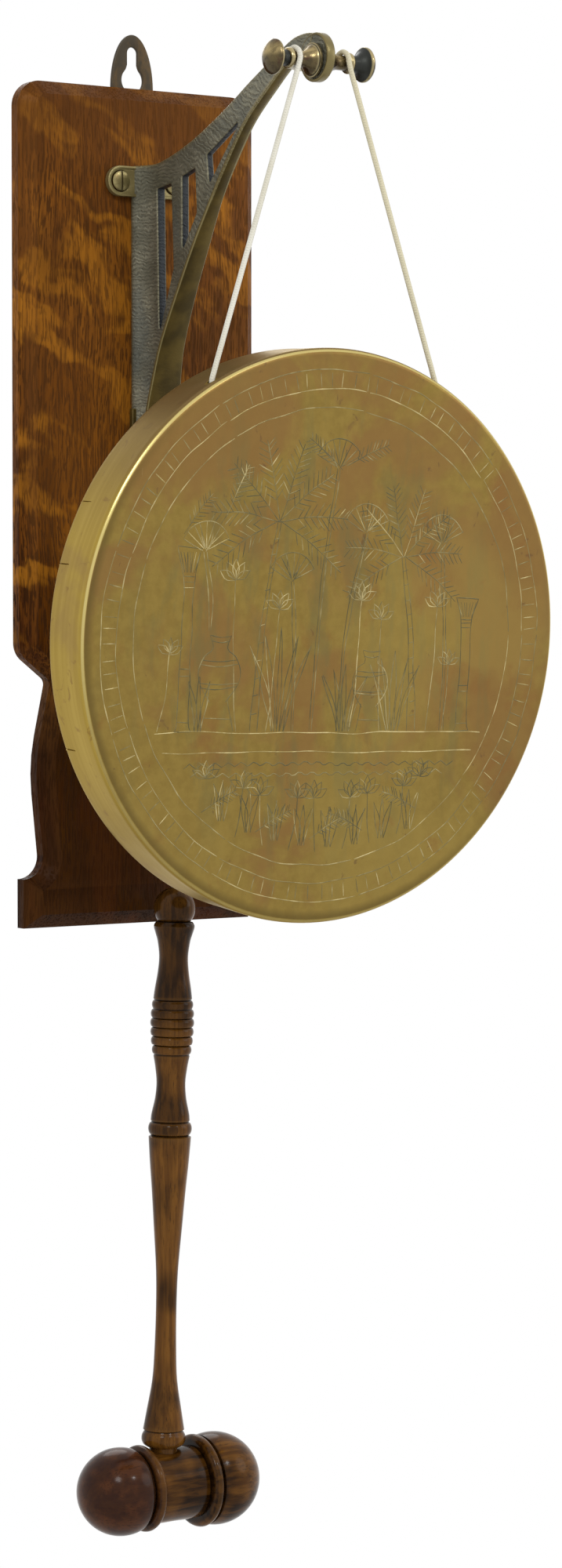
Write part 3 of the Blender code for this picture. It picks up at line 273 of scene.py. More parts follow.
def fillet(corners, step=radians(6)):
    """The closed outline through (u, v, radius) corners, each rounded to its radius."""
    outline = []
    for i, (u, v, radius) in enumerate(corners):
        here = Vector((u, v))
        before = (Vector(corners[i - 1][:2]) - here).normalized()
        after = (Vector(corners[(i + 1) % len(corners)][:2]) - here).normalized()
        if radius <= 0:
            outline.append(here)
            continue
        half = before.angle(after) / 2
        reach = radius / tan(half)
        centre = here + (before + after).normalized() * radius / sin(half)
        start = here + before * reach - centre
        turn = start.angle_signed(here + after * reach - centre)
        arcs = max(2, round(abs(turn) / step))
        # angle_signed runs clockwise, so the turn back is negative.
        steps = [Matrix.Rotation(-turn * k / arcs, 2) for k in range(arcs + 1)]
        outline += [centre + rotation @ start for rotation in steps]
    return outline


def smooth(points, per_span):
    """Points along a smooth curve through every given point, ends included."""
    given = [Vector(p) for p in points]
    padded = [2 * given[0] - given[1], *given, 2 * given[-1] - given[-2]]
    curve = []
    for a, b, c, d in zip(padded, padded[1:], padded[2:], padded[3:]):
        before = (c - a) * (c - b).length / ((c - b).length + (b - a).length)
        after = (d - b) * (c - b).length / ((d - c).length + (c - b).length)
        for t in (k / per_span for k in range(per_span)):
            curve.append(
                b * (2 * t**3 - 3 * t**2 + 1)
                + before * (t**3 - 2 * t**2 + t)
                + c * (3 * t**2 - 2 * t**3)
                + after * (t**3 - t**2)
            )
    return [*curve, given[-1]]


def evenly(points, step):
    """Points a steady distance apart along a polyline, ends included."""
    lengths = numpy.cumsum([0.0] + [(b - a).length for a, b in zip(points, points[1:])])
    count = max(2, round(lengths[-1] / step))
    found = []
    span = 0
    for k in range(count + 1):
        target = lengths[-1] * k / count
        while span < len(points) - 2 and lengths[span + 1] < target:
            span += 1
        part = (target - lengths[span]) / (lengths[span + 1] - lengths[span])
        found.append(points[span].lerp(points[span + 1], part))
    return found


def arc(centre, radius, start, end, steps):
    """Points (u, v) on an arc, from one angle in degrees to another."""
    turns = [radians(start + (end - start) * k / steps) for k in range(steps + 1)]
    return [Vector((centre[0] + radius * cos(t), centre[1] + radius * sin(t))) for t in turns]


def circle(centre, radius, count):
    return arc(centre, radius, 0, 360 - 360 / count, count - 1)


def offset(outline, distance):
    """The outline moved inwards by a small distance, corner by corner."""
    area = sum(a.x * b.y - b.x * a.y for a, b in looped(outline))
    side = 1 if area > 0 else -1
    moved = []
    for i, here in enumerate(outline):
        along_in = (here - outline[i - 1]).normalized()
        along_out = (outline[(i + 1) % len(outline)] - here).normalized()
        normal_in = left_of(along_in) * side
        normal_out = left_of(along_out) * side
        middle = (normal_in + normal_out).normalized()
        moved.append(here + middle * distance / max(0.45, middle.dot(normal_in)))
    return moved


def distances(points, outline, closed=True):
    """How far each (u, v) point is from the outline."""
    given = numpy.array([(p[0], p[1]) for p in points])
    start = numpy.array([(p[0], p[1]) for p in outline])
    end = numpy.roll(start, -1, axis=0)
    if not closed:
        start, end = start[:-1], end[:-1]
    least = numpy.full(len(given), numpy.inf)
    for a, b in zip(start, end):
        along = b - a
        part = numpy.clip((given - a) @ along / max(along @ along, 1e-14), 0, 1)
        away = given - (a + part[:, None] * along)
        least = numpy.minimum(least, numpy.hypot(away[:, 0], away[:, 1]))
    return least


def inset(outline, distance):
    """The outline moved inwards, with a mitre where the inset folds over."""
    moved = offset(outline, distance)
    count = len(outline)
    folded = [bool(d < distance - 0.02 * MM) for d in distances(moved, outline)]
    i = folded.index(False)
    for _ in range(count):
        j = (i + 1) % count
        if folded[j]:
            run = []
            while folded[j]:
                run.append(j)
                j = (j + 1) % count
            first = moved[i] - moved[i - 1]
            second = moved[(j + 1) % count] - moved[j]
            part = (moved[j] - moved[i - 1]).cross(second) / first.cross(second)
            mitre = moved[i - 1] + first * part
            for k in run:
                moved[k] = mitre
        i = j
    return moved


# Meshes


def skin(made, rings, closed=False):
    """Adds the faces from each ring of points to the next, and round to the first if closed.

    A ring of one point is a tip.
    """
    for first, second in zip(rings, [*rings[1:], *rings[: int(closed)]]):
        count = max(len(first), len(second))
        for k in range(count if count > 1 else 0):
            j = (k + 1) % count
            corners = [first[k % len(first)], first[j % len(first)]]
            corners += [second[j % len(second)], second[k % len(second)]]
            made.faces.new(list(dict.fromkeys(corners)))


def cap(made, rings):
    """Closes both ends of a row of rings."""
    made.faces.new(rings[0])
    made.faces.new(rings[-1])


def lathe(profile, axis, segments):
    """A bmesh of the (along, radius, ...) profile turned round an axis."""
    made = bmesh.new()
    spin = {"X": (1, 2, 0), "Y": (0, 2, 1), "Z": (0, 1, 2)}[axis]
    rings = []
    for along, radius, *_ in profile:
        ring = []
        for k in range(segments if radius > ON_AXIS else 1):
            turn = 2 * pi * k / segments
            values = dict(zip(spin, (radius * cos(turn), radius * sin(turn), along)))
            ring.append(made.verts.new((values[0], values[1], values[2])))
        rings.append(ring)
    skin(made, rings, closed=True)
    return made


def slab(outlines, low, high, soften, axis, steps=3):
    """A bmesh plate with rounded edges. The first outline is the plate's, the rest are holes.

    The outlines' (u, v) are the two other axes in order, and the plate runs from low to high.
    """
    made = bmesh.new()
    levels = []
    for k in range(steps + 1):
        turn = pi / 2 * k / steps
        levels.append((low + soften * (1 - cos(turn)), soften * (1 - sin(turn))))
    levels += [(low + high - along, inwards) for along, inwards in reversed(levels)]
    caps = ([], [])
    for index, outline in enumerate(outlines):
        rings = []
        for along, inwards in levels:
            ring = []
            for point in offset(outline, inwards if index == 0 else -inwards):
                values = [*point]
                values.insert("XYZ".index(axis), along)
                ring.append(made.verts.new(values))
            rings.append(ring)
        skin(made, rings)
        for edges, ring in zip(caps, (rings[0], rings[-1])):
            edges += [made.edges.get(pair) for pair in looped(ring)]
    for edges in caps:
        bmesh.ops.triangle_fill(made, use_beauty=True, edges=edges)
    return made


def prism(outline, axis, low, high):
    return slab([outline], low, high, 0.001 * MM, axis, 1)


def sweep(route, radius, sides, closed=False):
    """A bmesh tube of round section along the route, with rounded ends where it is open."""
    points = [Vector(p) for p in route]
    count = len(points)
    tangents = [way_past(points, i) for i in range(count)]
    if closed:
        tangents = [(points[(i + 1) % count] - points[i - 1]).normalized() for i in range(count)]
    stations = [(p, t, radius) for p, t in zip(points, tangents)]
    if not closed:
        first, last = stations[0], stations[-1]
        for turn in TUBE_ENDS:
            start = first[0] - first[1] * radius * sin(turn)
            end = last[0] + last[1] * radius * sin(turn)
            stations.insert(0, (start, first[1], radius * cos(turn)))
            stations.append((end, last[1], radius * cos(turn)))
    across = stations[0][1].orthogonal().normalized()
    made = bmesh.new()
    rings = []
    heading = stations[0][1]
    for place, tangent, width in stations:
        across = across.copy()
        across.rotate(heading.rotation_difference(tangent))
        heading = tangent
        up = tangent.cross(across)
        turns = [2 * pi * s / sides for s in range(sides)]
        ring = [place + (across * cos(t) + up * sin(t)) * width for t in turns]
        rings.append([made.verts.new(spot) for spot in ring])
    skin(made, rings, closed)
    if not closed:
        cap(made, rings)
    return made


def join(*parts):
    """One bmesh of several."""
    whole = bmesh.new()
    for part in parts:
        data = bpy.data.meshes.new("part")
        part.to_mesh(data)
        part.free()
        whole.from_mesh(data)
        bpy.data.meshes.remove(data)
    return whole


def linked(name, data):
    obj = bpy.data.objects.new(name, data)
    bpy.context.scene.collection.objects.link(obj)
    return obj


def as_object(name, made, material=None):
    bmesh.ops.recalc_face_normals(made, faces=made.faces)
    data = bpy.data.meshes.new(name)
    made.to_mesh(data)
    made.free()
    if material:
        data.materials.append(material)
    return linked(name, data)


def carve(made, cutters, bevel=0.0, bevel_angle=radians(30)):
    """The bmesh after cutting the others from it, and then rounding its sharp edges."""
    obj = as_object("carved", made)
    tools = [as_object("cutter", cutter) for cutter in cutters]
    for tool in tools:
        obj.modifiers.new("cut", "BOOLEAN").object = tool
    if bevel:
        step = obj.modifiers.new("soften", "BEVEL")
        step.limit_method = "ANGLE"
        step.angle_limit = bevel_angle
        step.width = bevel
        step.segments = 3
        step.use_clamp_overlap = True
    view = bpy.context.evaluated_depsgraph_get()
    data = bpy.data.meshes.new_from_object(obj.evaluated_get(view))
    result = bmesh.new()
    result.from_mesh(data)
    for old_data in [data, *(old.data for old in (obj, *tools))]:
        bpy.data.meshes.remove(old_data)
    return result


def piece(name, made, material, body, replaces=(), place=FRAME_FROM_BOARD):
    """A finished piece of the object, in the frame, that rides on a body."""
    made.transform(place)
    obj = as_object(name, made, material)
    obj.data.shade_smooth()
    obj.data.set_sharp_from_angle(angle=SHARP_ANGLE)
    if body:
        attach(obj, body)
    if replaces:
        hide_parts(*replaces)
    return obj


def numbers(obj, name, values):
    """Gives a mesh a number for each of its points, for its material to read."""
    layer = obj.data.attributes.new(name, "FLOAT", "POINT")
    layer.data.foreach_set("value", [float(v) for v in values])


def row_numbers(obj, rows, segments, *names):
    """Gives a lathe's mesh the numbers that follow (along, radius) in its rows."""
    for index, name in enumerate(names, 2):
        counts = [segments if row[1] > ON_AXIS else 1 for row in rows]
        numbers(obj, name, [row[index] for row, n in zip(rows, counts) for _ in range(n)])


def ridge_wear(obj, reach):
    """Marks a mesh's convex edges as worn: 1 where the faces round a point turn away most."""
    made = bmesh.new()
    made.from_mesh(obj.data)
    values = []
    for vert in made.verts:
        edges = [edge for edge in vert.link_edges if len(edge.link_faces) == 2]
        bends = [edge.calc_face_angle_signed(0.0) for edge in edges]
        values.append(min(1.0, max([0.0, *bends]) / reach))
    made.free()
    numbers(obj, "wear_and_highlight", values)


# Materials


def fill(tree, sockets, values):
    """Links each socket that is named to another one, or gives it a constant."""
    for name, value in values.items():
        socket = sockets[name]
        if isinstance(value, bpy.types.NodeSocket):
            tree.links.new(value, socket)
        elif isinstance(value, tuple) and len(value) == 3 and len(socket.default_value) == 4:
            socket.default_value = (*value, 1)
        else:
            socket.default_value = value


def new_node(tree, kind, values, **options):
    """A new node's outputs, after its options and its sockets are filled."""
    made = tree.nodes.new("ShaderNode" + kind)
    for name, value in options.items():
        setattr(made, name, value)
    fill(tree, made.inputs, values)
    return made.outputs


# The Mix node's first and second sockets and its output, for each kind of value
MIX_SOCKETS = {"FLOAT": (2, 3, 0), "VECTOR": (4, 5, 1), "RGBA": (6, 7, 2)}


class Graph:
    """One material's nodes. Places are the object's own coordinates, in millimetres."""

    def __init__(self, name, roughness=0.5, metallic=0.0, specular=0.5):
        self.made = bpy.data.materials.new(name)
        self.made.use_nodes = True
        self.tree = self.made.node_tree
        self.shader = self.tree.nodes["Principled BSDF"]
        looks = {"Roughness": roughness, "Metallic": metallic, "Specular IOR Level": specular}
        fill(self.tree, self.shader.inputs, looks)
        place = self.node("TexCoord", {})["Object"]
        self.place = self.node("VectorMath", {0: place, "Scale": 1 / MM}, operation="SCALE")[0]

    def node(self, kind, values, **options):
        return new_node(self.tree, kind, values, **options)

    def mapped(self, scale, turn=(0, 0, 0), shift=(0, 0, 0), place=None):
        """A place, or the object's own places, scaled first, then turned and shifted."""
        if not isinstance(scale, tuple):
            scale = (scale, scale, scale)
        values = {"Vector": place or self.place, "Scale": scale}
        return self.node("Mapping", {**values, "Rotation": turn, "Location": shift})[0]

    def noise(self, place, scale, detail=3.0, roughness=0.55, distortion=0.0):
        values = {"Vector": place, "Scale": scale, "Detail": detail}
        values.update({"Roughness": roughness, "Distortion": distortion})
        return self.node("TexNoise", values)["Fac"]

    def cloud(self, scale, detail=3.0, roughness=0.55, distortion=0.0, shift=(0, 0, 0), place=None):
        """Noise with its places scaled by one number, or by one for each axis."""
        place = self.mapped(scale, shift=shift, place=place)
        return self.noise(place, 1.0, detail, roughness, distortion)

    def span(self, value, low, high, to_low=0.0, to_high=1.0):
        """The value from low to high, smoothly spread over the second range."""
        values = {"Value": value, "From Min": low, "From Max": high}
        values.update({"To Min": to_low, "To Max": to_high})
        return self.node("MapRange", values, interpolation_type="SMOOTHSTEP")["Result"]

    def math(self, operation, first, second=0.0):
        return self.node("Math", {0: first, 1: second}, operation=operation)[0]

    def add(self, first, second):
        return self.math("ADD", first, second)

    def less(self, first, second):
        return self.math("SUBTRACT", first, second)

    def times(self, first, second):
        return self.math("MULTIPLY", first, second)

    def mix(self, amount, first, second, kind="RGBA"):
        low, high, out = MIX_SOCKETS[kind]
        return self.node("Mix", {0: amount, low: first, high: second}, data_type=kind)[out]

    def coats(self, colour, *coats):
        """The colour under coats, each given as (amount, colour)."""
        for amount, coat in coats:
            colour = self.mix(amount, colour, coat)
        return colour

    def split(self, vector=None):
        return self.node("SeparateXYZ", {0: vector or self.place})

    def combine(self, x, y, z):
        return self.node("CombineXYZ", {0: x, 1: y, 2: z})[0]

    def attribute(self, name, output="Fac"):
        return self.node("Attribute", {}, attribute_name=name)[output]

    def finish(self, colour, roughness=None, height=None, depth=0.1, strength=1.0):
        looks = {"Base Color": colour}
        if roughness is not None:
            looks["Roughness"] = roughness
        if height is not None:
            bump = {"Height": height, "Distance": depth * MM, "Strength": strength}
            looks["Normal"] = self.node("Bump", bump)[0]
        fill(self.tree, self.shader.inputs, looks)
        return self.made


def make_oak():
    """Quarter-sawn oak: vertical pores, sloping golden flecks, broad dark and light areas, and the
    gong's shadow painted darker on its lower part.
    """
    g = Graph("quartered_oak", specular=0.05)
    x, y, z = g.split()
    bent = g.combine(g.add(x, g.times(g.cloud((0.03, 0.03, 0.008), 2), 14.0)), y, z)
    streaks = g.cloud((0.50, 0.4, 0.014), 4, 0.62, place=bent)
    broad = g.cloud((0.02, 0.05, 0.011), 2, shift=(3.1, 0, 1.7))
    colour = g.mix(g.span(streaks, 0.38, 0.60), (0.052, 0.0130, 0.0008), (0.160, 0.047, 0.0022))
    light = g.mix(g.span(streaks, 0.36, 0.60), (0.110, 0.033, 0.0012), (0.265, 0.088, 0.0050))
    warped = g.cloud((0.035, 0.03, 0.028), 2, shift=(0, 0, 5))
    lifted = g.combine(x, y, g.add(z, g.times(warped, 26.0)))
    sloped = g.mapped(1, (0, radians(-30), 0), place=lifted)
    fleck = g.span(g.cloud((0.021, 0.05, 0.066), 2.5, 0.5, place=sloped), 0.485, 0.60)
    fleck = g.times(fleck, g.span(z, -330.0, -250.0, 0.25, 1.0))
    fleck = g.times(fleck, g.span(streaks, 0.34, 0.52, 0.55, 1.0))
    pores = g.cloud((1.25, 1.25, 0.10), 2, 0.5, place=bent)
    short = g.cloud((0.6, 0.6, 0.11), 2, 0.5, shift=(4, 2, 9), place=bent)
    pore = g.times(g.span(pores, 0.48, 0.54), g.span(short, 0.38, 0.46))
    pore = g.times(pore, g.less(1.0, g.times(fleck, 0.45)))
    red = g.cloud((0.05, 0.05, 0.012), shift=(6, 1, 4), place=bent)
    # Painted shadow: darker, reddish wood that stands for the gong's shadow on the board
    under = g.mix(g.span(red, 0.48, 0.64), (0.0120, 0.0034, 0.0006), (0.038, 0.0085, 0.0012))
    shade = g.cloud((0.015, 0.015, 0.012), shift=(8, 3, 2))
    wear_and_highlight = g.times(g.attribute("wear_and_highlight"), g.span(z, -300.0, -200.0, 0.12, 0.45))
    colour = g.coats(
        colour,
        (g.span(broad, 0.45, 0.62), light),
        (g.times(fleck, 0.9), (0.46, 0.172, 0.0095)),
        (g.times(pore, 0.92), (0.008, 0.0018, 0.0004)),
        (g.span(z, -75.0, -20.0, 0.0, 0.70), (0.046, 0.0125, 0.0008)),
        # Painted shadow of the gong, strongest toward the board's bottom
        (g.span(z, -330.0, -215.0, 0.88, 0.0), under),
        (g.span(shade, 0.48, 0.7, 0.0, 0.5), (0.026, 0.0068, 0.0008)),
        (wear_and_highlight, (0.235, 0.088, 0.018)),
    )
    rough = g.add(g.times(pore, 0.3), g.span(shade, 0.3, 0.7, 0.30, 0.42))
    return g.finish(colour, rough, g.less(g.times(streaks, 0.4), pore), 0.12, 0.5)


def make_turned_wood():
    """Dark polished hardwood of the mallet, with its grain along the handle and the head, and
    painted shade in its grooves.
    """
    g = Graph("turned_wood", specular=0.11)
    along = g.attribute("along_x")
    x, _, z = g.split()
    place = g.mix(along, g.mapped((0.42, 0.42, 0.020)), g.mapped((0.035, 0.34, 0.34)), "VECTOR")
    grain = g.noise(place, 1.0, 3, 0.5, 0.4)
    fine = g.noise(place, 4.5, 3, 0.6)
    broad = g.cloud((0.035, 0.035, 0.030), 2, shift=(2, 5, 1))
    patch = g.cloud(0.09, 3, 0.55, shift=(4, 4, 1))
    colour = g.mix(g.span(grain, 0.36, 0.62), (0.014, 0.0050, 0.0008), (0.062, 0.0235, 0.0030))
    gold = g.mix(g.span(grain, 0.34, 0.66), (0.112, 0.042, 0.0065), (0.195, 0.080, 0.0125))
    red = g.mix(g.span(patch, 0.42, 0.64), (0.038, 0.0125, 0.0068), (0.084, 0.027, 0.0100))
    taper = g.times(g.span(z, -505.0, -530.0, 0.0, 0.15), g.less(1.0, along))
    dark = g.times(g.span(fine, 0.54, 0.66), g.span(patch, 0.40, 0.60, 0.2, 0.6))
    colour = g.coats(
        colour,
        (g.span(g.add(broad, taper), 0.46, 0.68, 0.0, 0.85), gold),
        (g.times(along, g.span(x, -8.0, -24.0, 0.0, 0.8)), red),
        (dark, (0.010, 0.0034, 0.0008)),
        (g.times(g.attribute("wear_and_highlight"), 0.5), (0.15, 0.068, 0.014)),
        # Painted shade in the turned grooves
        (g.times(g.attribute("hollow_shade"), 0.9), (0.004, 0.0016, 0.0006)),
    )
    return g.finish(colour, g.span(fine, 0.35, 0.7, 0.13, 0.22), g.add(fine, grain), 0.04, 0.25)


def make_gong_metal():
    """Spun bronze under an olive patina: brown, copper and green clouds, stains and scratches, with
    painted highlight, reflection and shade on its rounded edge and rim, and painted brighter light
    toward its lower right.
    """
    g = Graph("gong_patina", metallic=0.7)
    fill(g.tree, g.shader.inputs, {"Specular Tint": (0.95, 0.83, 0.56)})
    local = g.attribute("local", "Vector")

    def noise_at(shift, scale, detail, roughness, distortion=0.0, stretch=1):
        place = g.mapped(stretch, shift=shift, place=local)
        return g.noise(place, scale, detail, roughness, distortion)

    across, _, up = g.split(local)
    flat = g.mapped((1, 0, 1), place=local)
    length = g.node("VectorMath", {0: flat}, operation="LENGTH")["Value"]
    clouds = noise_at((0, 0, 0), 0.016, 5, 0.6, 0.5)
    second = noise_at((90, 20, 40), 0.013, 4, 0.55, 0.4)
    tall = noise_at((10, 70, 30), 0.045, 5, 0.65, 0.3, (1.8, 1, 0.4))
    speck = noise_at((0, 0, 0), 0.16, 5, 0.62)
    spots = noise_at((5, 9, 33), 0.11, 4, 0.6, 0.8)
    rust = noise_at((51, 7, 13), 0.045, 4, 0.6, 0.4)
    copper = g.add(clouds, g.span(up, -70.0, 70.0, -0.05, 0.03))
    copper = g.add(copper, g.span(across, -20.0, 110.0, 0.0, 0.08))
    tarnish = g.times(g.span(tall, 0.48, 0.66), g.span(length, 78.0, 108.0, 0.85, 0.25))
    # Gold patches, biased toward the lower right as painted brighter light there
    gold = g.add(second, g.span(g.less(up, across), 90.0, -90.0, -0.05, 0.03))
    rust = g.add(rust, g.span(across, 20.0, 100.0, -0.02, 0.05))
    face = g.coats(
        g.mix(g.span(speck, 0.34, 0.66), (0.228, 0.151, 0.033), (0.266, 0.181, 0.041)),
        (g.span(copper, 0.46, 0.60, 0.0, 0.75), (0.222, 0.118, 0.036)),
        (g.times(tarnish, 0.6), (0.150, 0.128, 0.046)),
        (g.span(gold, 0.46, 0.68, 0.0, 0.4), (0.315, 0.222, 0.054)),
        (g.span(spots, 0.66, 0.72, 0.0, 0.5), (0.105, 0.052, 0.030)),
        (g.span(rust, 0.57, 0.72, 0.0, 0.34), (0.215, 0.092, 0.026)),
    )
    streak = g.cloud((0.006, 0.30, 0.006), place=g.attribute("turned", "Vector"))
    # The rim is painted lighter than the face, as a painted reflection of bright surroundings, over
    # its spinning streaks
    rim = g.coats(
        g.mix(g.span(streak, 0.35, 0.7), (0.355, 0.238, 0.040), (0.430, 0.300, 0.062)),
        # Painted shade: the rim darker and browner toward its bottom
        (g.span(up, -40.0, -95.0, 0.0, 0.65), (0.235, 0.150, 0.028)),
        (g.span(spots, 0.60, 0.68, 0.0, 0.55), (0.205, 0.105, 0.030)),
        (g.span(clouds, 0.50, 0.64, 0.0, 0.45), (0.265, 0.162, 0.062)),
        # Painted dark reflection on the rim's top
        (g.span(up, 35.0, 105.0, 0.0, 0.8), (0.125, 0.074, 0.034)),
    )
    back = g.coats(
        g.mix(g.span(clouds, 0.4, 0.65), (0.160, 0.102, 0.036), (0.092, 0.068, 0.032)),
        (g.span(tall, 0.5, 0.7, 0.0, 0.6), (0.085, 0.092, 0.060)),
    )
    # Painted shade: a darker band on the face's outer ring and the edge's front, strongest at the
    # lower left
    lower_left_shade = g.span(g.add(up, across), 40.0, -90.0, 0.10, 0.75)
    wear_and_highlight = g.attribute("wear_and_highlight")
    scratch_place = g.mapped((0.9, 0.2, 0.05), (0, radians(28), 0), place=local)
    other_place = g.mapped((0.8, 0.2, 0.06), (0, radians(-52), 0), place=local)
    scratch = g.noise(scratch_place, 1.6, 4, 0.75)
    scratch = g.math("MAXIMUM", scratch, g.noise(other_place, 1.5, 4, 0.75))
    colour = g.coats(
        face,
        (g.attribute("wall"), rim),
        (g.times(g.attribute("inside"), 0.9), back),
        (g.times(g.attribute("painted_shade"), lower_left_shade), (0.120, 0.080, 0.020)),
        # Painted highlight on the rounded edge's band, brighter toward the top, and wear on the
        # back lip
        (g.times(wear_and_highlight, g.span(up, -60.0, 20.0, 0.22, 0.85)), (0.66, 0.54, 0.20)),
        (g.times(g.span(scratch, 0.66, 0.72), 0.2), (0.46, 0.37, 0.165)),
    )
    rough = g.less(g.span(clouds, 0.35, 0.7, 0.34, 0.44), g.times(wear_and_highlight, 0.14))
    return g.finish(colour, rough, g.add(g.times(speck, 0.3), g.times(scratch, 0.5)), 0.04, 0.4)


def make_engraved_metal():
    """The metal of the engraved lines: dark with old polish in places, and bright in others."""
    g = Graph("engraved_lines", metallic=0.6)
    wear = g.cloud(0.12)
    dark = g.mix(g.span(wear, 0.42, 0.62), (0.070, 0.064, 0.026), (0.150, 0.118, 0.038))
    bright = g.mix(g.span(wear, 0.42, 0.6), (0.31, 0.235, 0.080), (0.56, 0.46, 0.215))
    return g.finish(g.mix(g.attribute("tone"), dark, bright), g.span(wear, 0.4, 0.6, 0.32, 0.5))


def make_cast_metal():
    """The bracket's casting: grey-green, rippled by the file, with polished olive arrises, painted
    shade in the ripples' troughs and on the slots' walls.
    """
    g = Graph("cast_patina", metallic=0.5, specular=0.35)
    _, y, z = g.split()
    slope = g.add(g.times(y, -0.35), g.times(z, 0.62))
    wander = g.times(g.cloud(0.16, 3, 0.6), 6.0)
    level = g.math("SINE", g.times(g.add(z, wander), 3.5))
    sloped = g.math("SINE", g.times(g.add(slope, wander), 3.5))
    ripple = g.mix(g.span(y, -60.0, -30.0, 1.0, 0.0), level, sloped, "FLOAT")
    ripple = g.times(ripple, g.span(g.cloud((0.45, 0.45, 0.9)), 0.38, 0.62, 0.15, 1.0))
    broad = g.cloud(0.05, shift=(1, 4, 2))
    cool = g.cloud(0.035, 2, shift=(7, 1, 8))
    grey = g.coats(
        g.mix(g.span(broad, 0.36, 0.66), (0.158, 0.150, 0.105), (0.265, 0.250, 0.178)),
        # Painted shade in the ripples' troughs
        (g.span(ripple, -0.8, 0.8, 0.55, 0.0), (0.054, 0.053, 0.039)),
        (g.span(cool, 0.52, 0.66, 0.0, 0.45), (0.085, 0.098, 0.092)),
    )
    olive = g.mix(g.span(broad, 0.38, 0.64), (0.068, 0.047, 0.0110), (0.136, 0.093, 0.0200))
    brass = g.mix(g.span(broad, 0.4, 0.65), (0.22, 0.175, 0.070), (0.33, 0.275, 0.118))
    face, wear_and_highlight, bright = [g.attribute(name) for name in ("cast", "wear_and_highlight", "bright")]
    colour = g.coats(
        olive,
        (face, grey),
        # Painted shade on the slots' walls
        (g.attribute("slot_wall_shade"), (0.027, 0.030, 0.033)),
        (g.times(wear_and_highlight, 0.9), (0.235, 0.190, 0.078)),
        (bright, brass),
    )
    rough = g.less(g.less(0.46, g.times(wear_and_highlight, 0.18)), g.times(bright, 0.16))
    height = g.add(g.times(ripple, 0.6), g.times(g.cloud(1.5, 2), 0.35))
    height = g.times(height, g.add(g.times(face, 0.9), 0.1))
    return g.finish(colour, rough, height, 0.20, 1.0)


def make_brass(name, base, dark, red, painted_shade, amount, roughness, top=None):
    """Turned brass with brown and reddish tarnish, with painted shade in its hollows and below its
    top, and a painted highlight band just under its top.
    """
    g = Graph(name, metallic=0.85)
    blotch = g.cloud(0.20, 5, 0.65, 0.6)
    stain = g.cloud(0.26, 4, 0.6, 0.6, shift=(3, 8, 1))
    speck = g.cloud(1.3, 3, 0.6)
    colour = g.coats(
        base,
        (g.span(blotch, 0.40, 0.62, 0.0, amount), dark),
        (g.span(stain, 0.52, 0.68, 0.0, amount), red),
        (g.span(speck, 0.58, 0.72, 0.0, 0.35), dark),
    )
    if top is not None:
        height = g.split()[2]
        # Painted highlight: a bright band just under the top, in the base colour brightened as if
        # polished
        above = g.span(height, top + 1.0, top + 4.0, 0.0, -0.85)
        rub_and_highlight = g.add(g.span(height, top - 3.5, top - 0.5), above)
        rub_and_highlight = g.times(rub_and_highlight, g.span(blotch, 0.62, 0.40, 0.35, 0.9))
        polished = tuple(min(1.0, 3.2 * c) for c in base)
        # Painted shade: darker below the top
        low = g.span(height, top - 8.0, top - 3.0, 0.6, 0.0)
        colour = g.coats(colour, (rub_and_highlight, polished), (low, dark))
    # Painted shade in the hollows
    hollow_shade = g.attribute("hollow_shade")
    wear_and_highlight = g.times(g.attribute("wear_and_highlight"), 0.7)
    colour = g.coats(colour, (hollow_shade, painted_shade), (wear_and_highlight, (0.50, 0.42, 0.22)))
    rough = g.span(blotch, 0.35, 0.7, roughness, roughness + 0.14)
    return g.finish(colour, g.add(rough, g.times(hollow_shade, 0.22)), g.add(speck, blotch), 0.05, 0.4)


def make_hanger_metal():
    g = Graph("hanger_patina", metallic=0.5, specular=0.2)
    blotch = g.cloud((0.22, 0.22, 0.10), 4, 0.6, 0.5)
    speck = g.cloud(1.6)
    tone = g.add(blotch, g.span(g.split()[0], 2.0, 9.0, -0.05, 0.08))
    colour = g.coats(
        g.mix(g.span(tone, 0.36, 0.62), (0.026, 0.017, 0.0070), (0.092, 0.050, 0.0135)),
        (g.span(speck, 0.56, 0.7, 0.0, 0.6), (0.026, 0.021, 0.015)),
        (g.times(g.attribute("wear_and_highlight"), 0.5), (0.115, 0.100, 0.075)),
    )
    return g.finish(colour, g.span(blotch, 0.35, 0.65, 0.42, 0.56), speck, 0.08, 0.5)


def make_cotton():
    """Fine plaited cotton cord. The attribute plait gives the way along and round it."""
    g = Graph("plaited_cotton", roughness=0.9)
    along, around, _ = g.split(g.attribute("plait", "Vector"))
    along = g.times(along, 5.2)
    right, left = g.math("SINE", g.add(along, around)), g.math("SINE", g.less(along, around))
    weave = g.math("MAXIMUM", right, left)
    right_side = g.span(g.split()[0], -8.0, 12.0)
    soil = g.span(g.cloud(0.035, 3, 0.6), 0.4, 0.7, 0.0, 0.3)
    colour = g.coats(
        g.mix(right_side, (0.815, 0.790, 0.685), (0.735, 0.675, 0.475)),
        (soil, (0.56, 0.50, 0.33)),
        # Painted shade between the plait's strands
        (g.span(weave, -0.6, 0.5, 0.22, 0.0), (0.50, 0.455, 0.33)),
    )
    fill(g.tree, g.shader.inputs, {"Sheen Weight": 0.2})
    return g.finish(colour, None, weave, 0.10, 0.6)


# The camera, the light and the floor


def aimed(name, data, place, way):
    """A camera or a lamp at a place, looking along a way."""
    obj = linked(name, data)
    obj.location = place
    obj.rotation_mode = "QUATERNION"
    obj.rotation_quaternion = way.to_track_quat("-Z", "Y")
    return obj


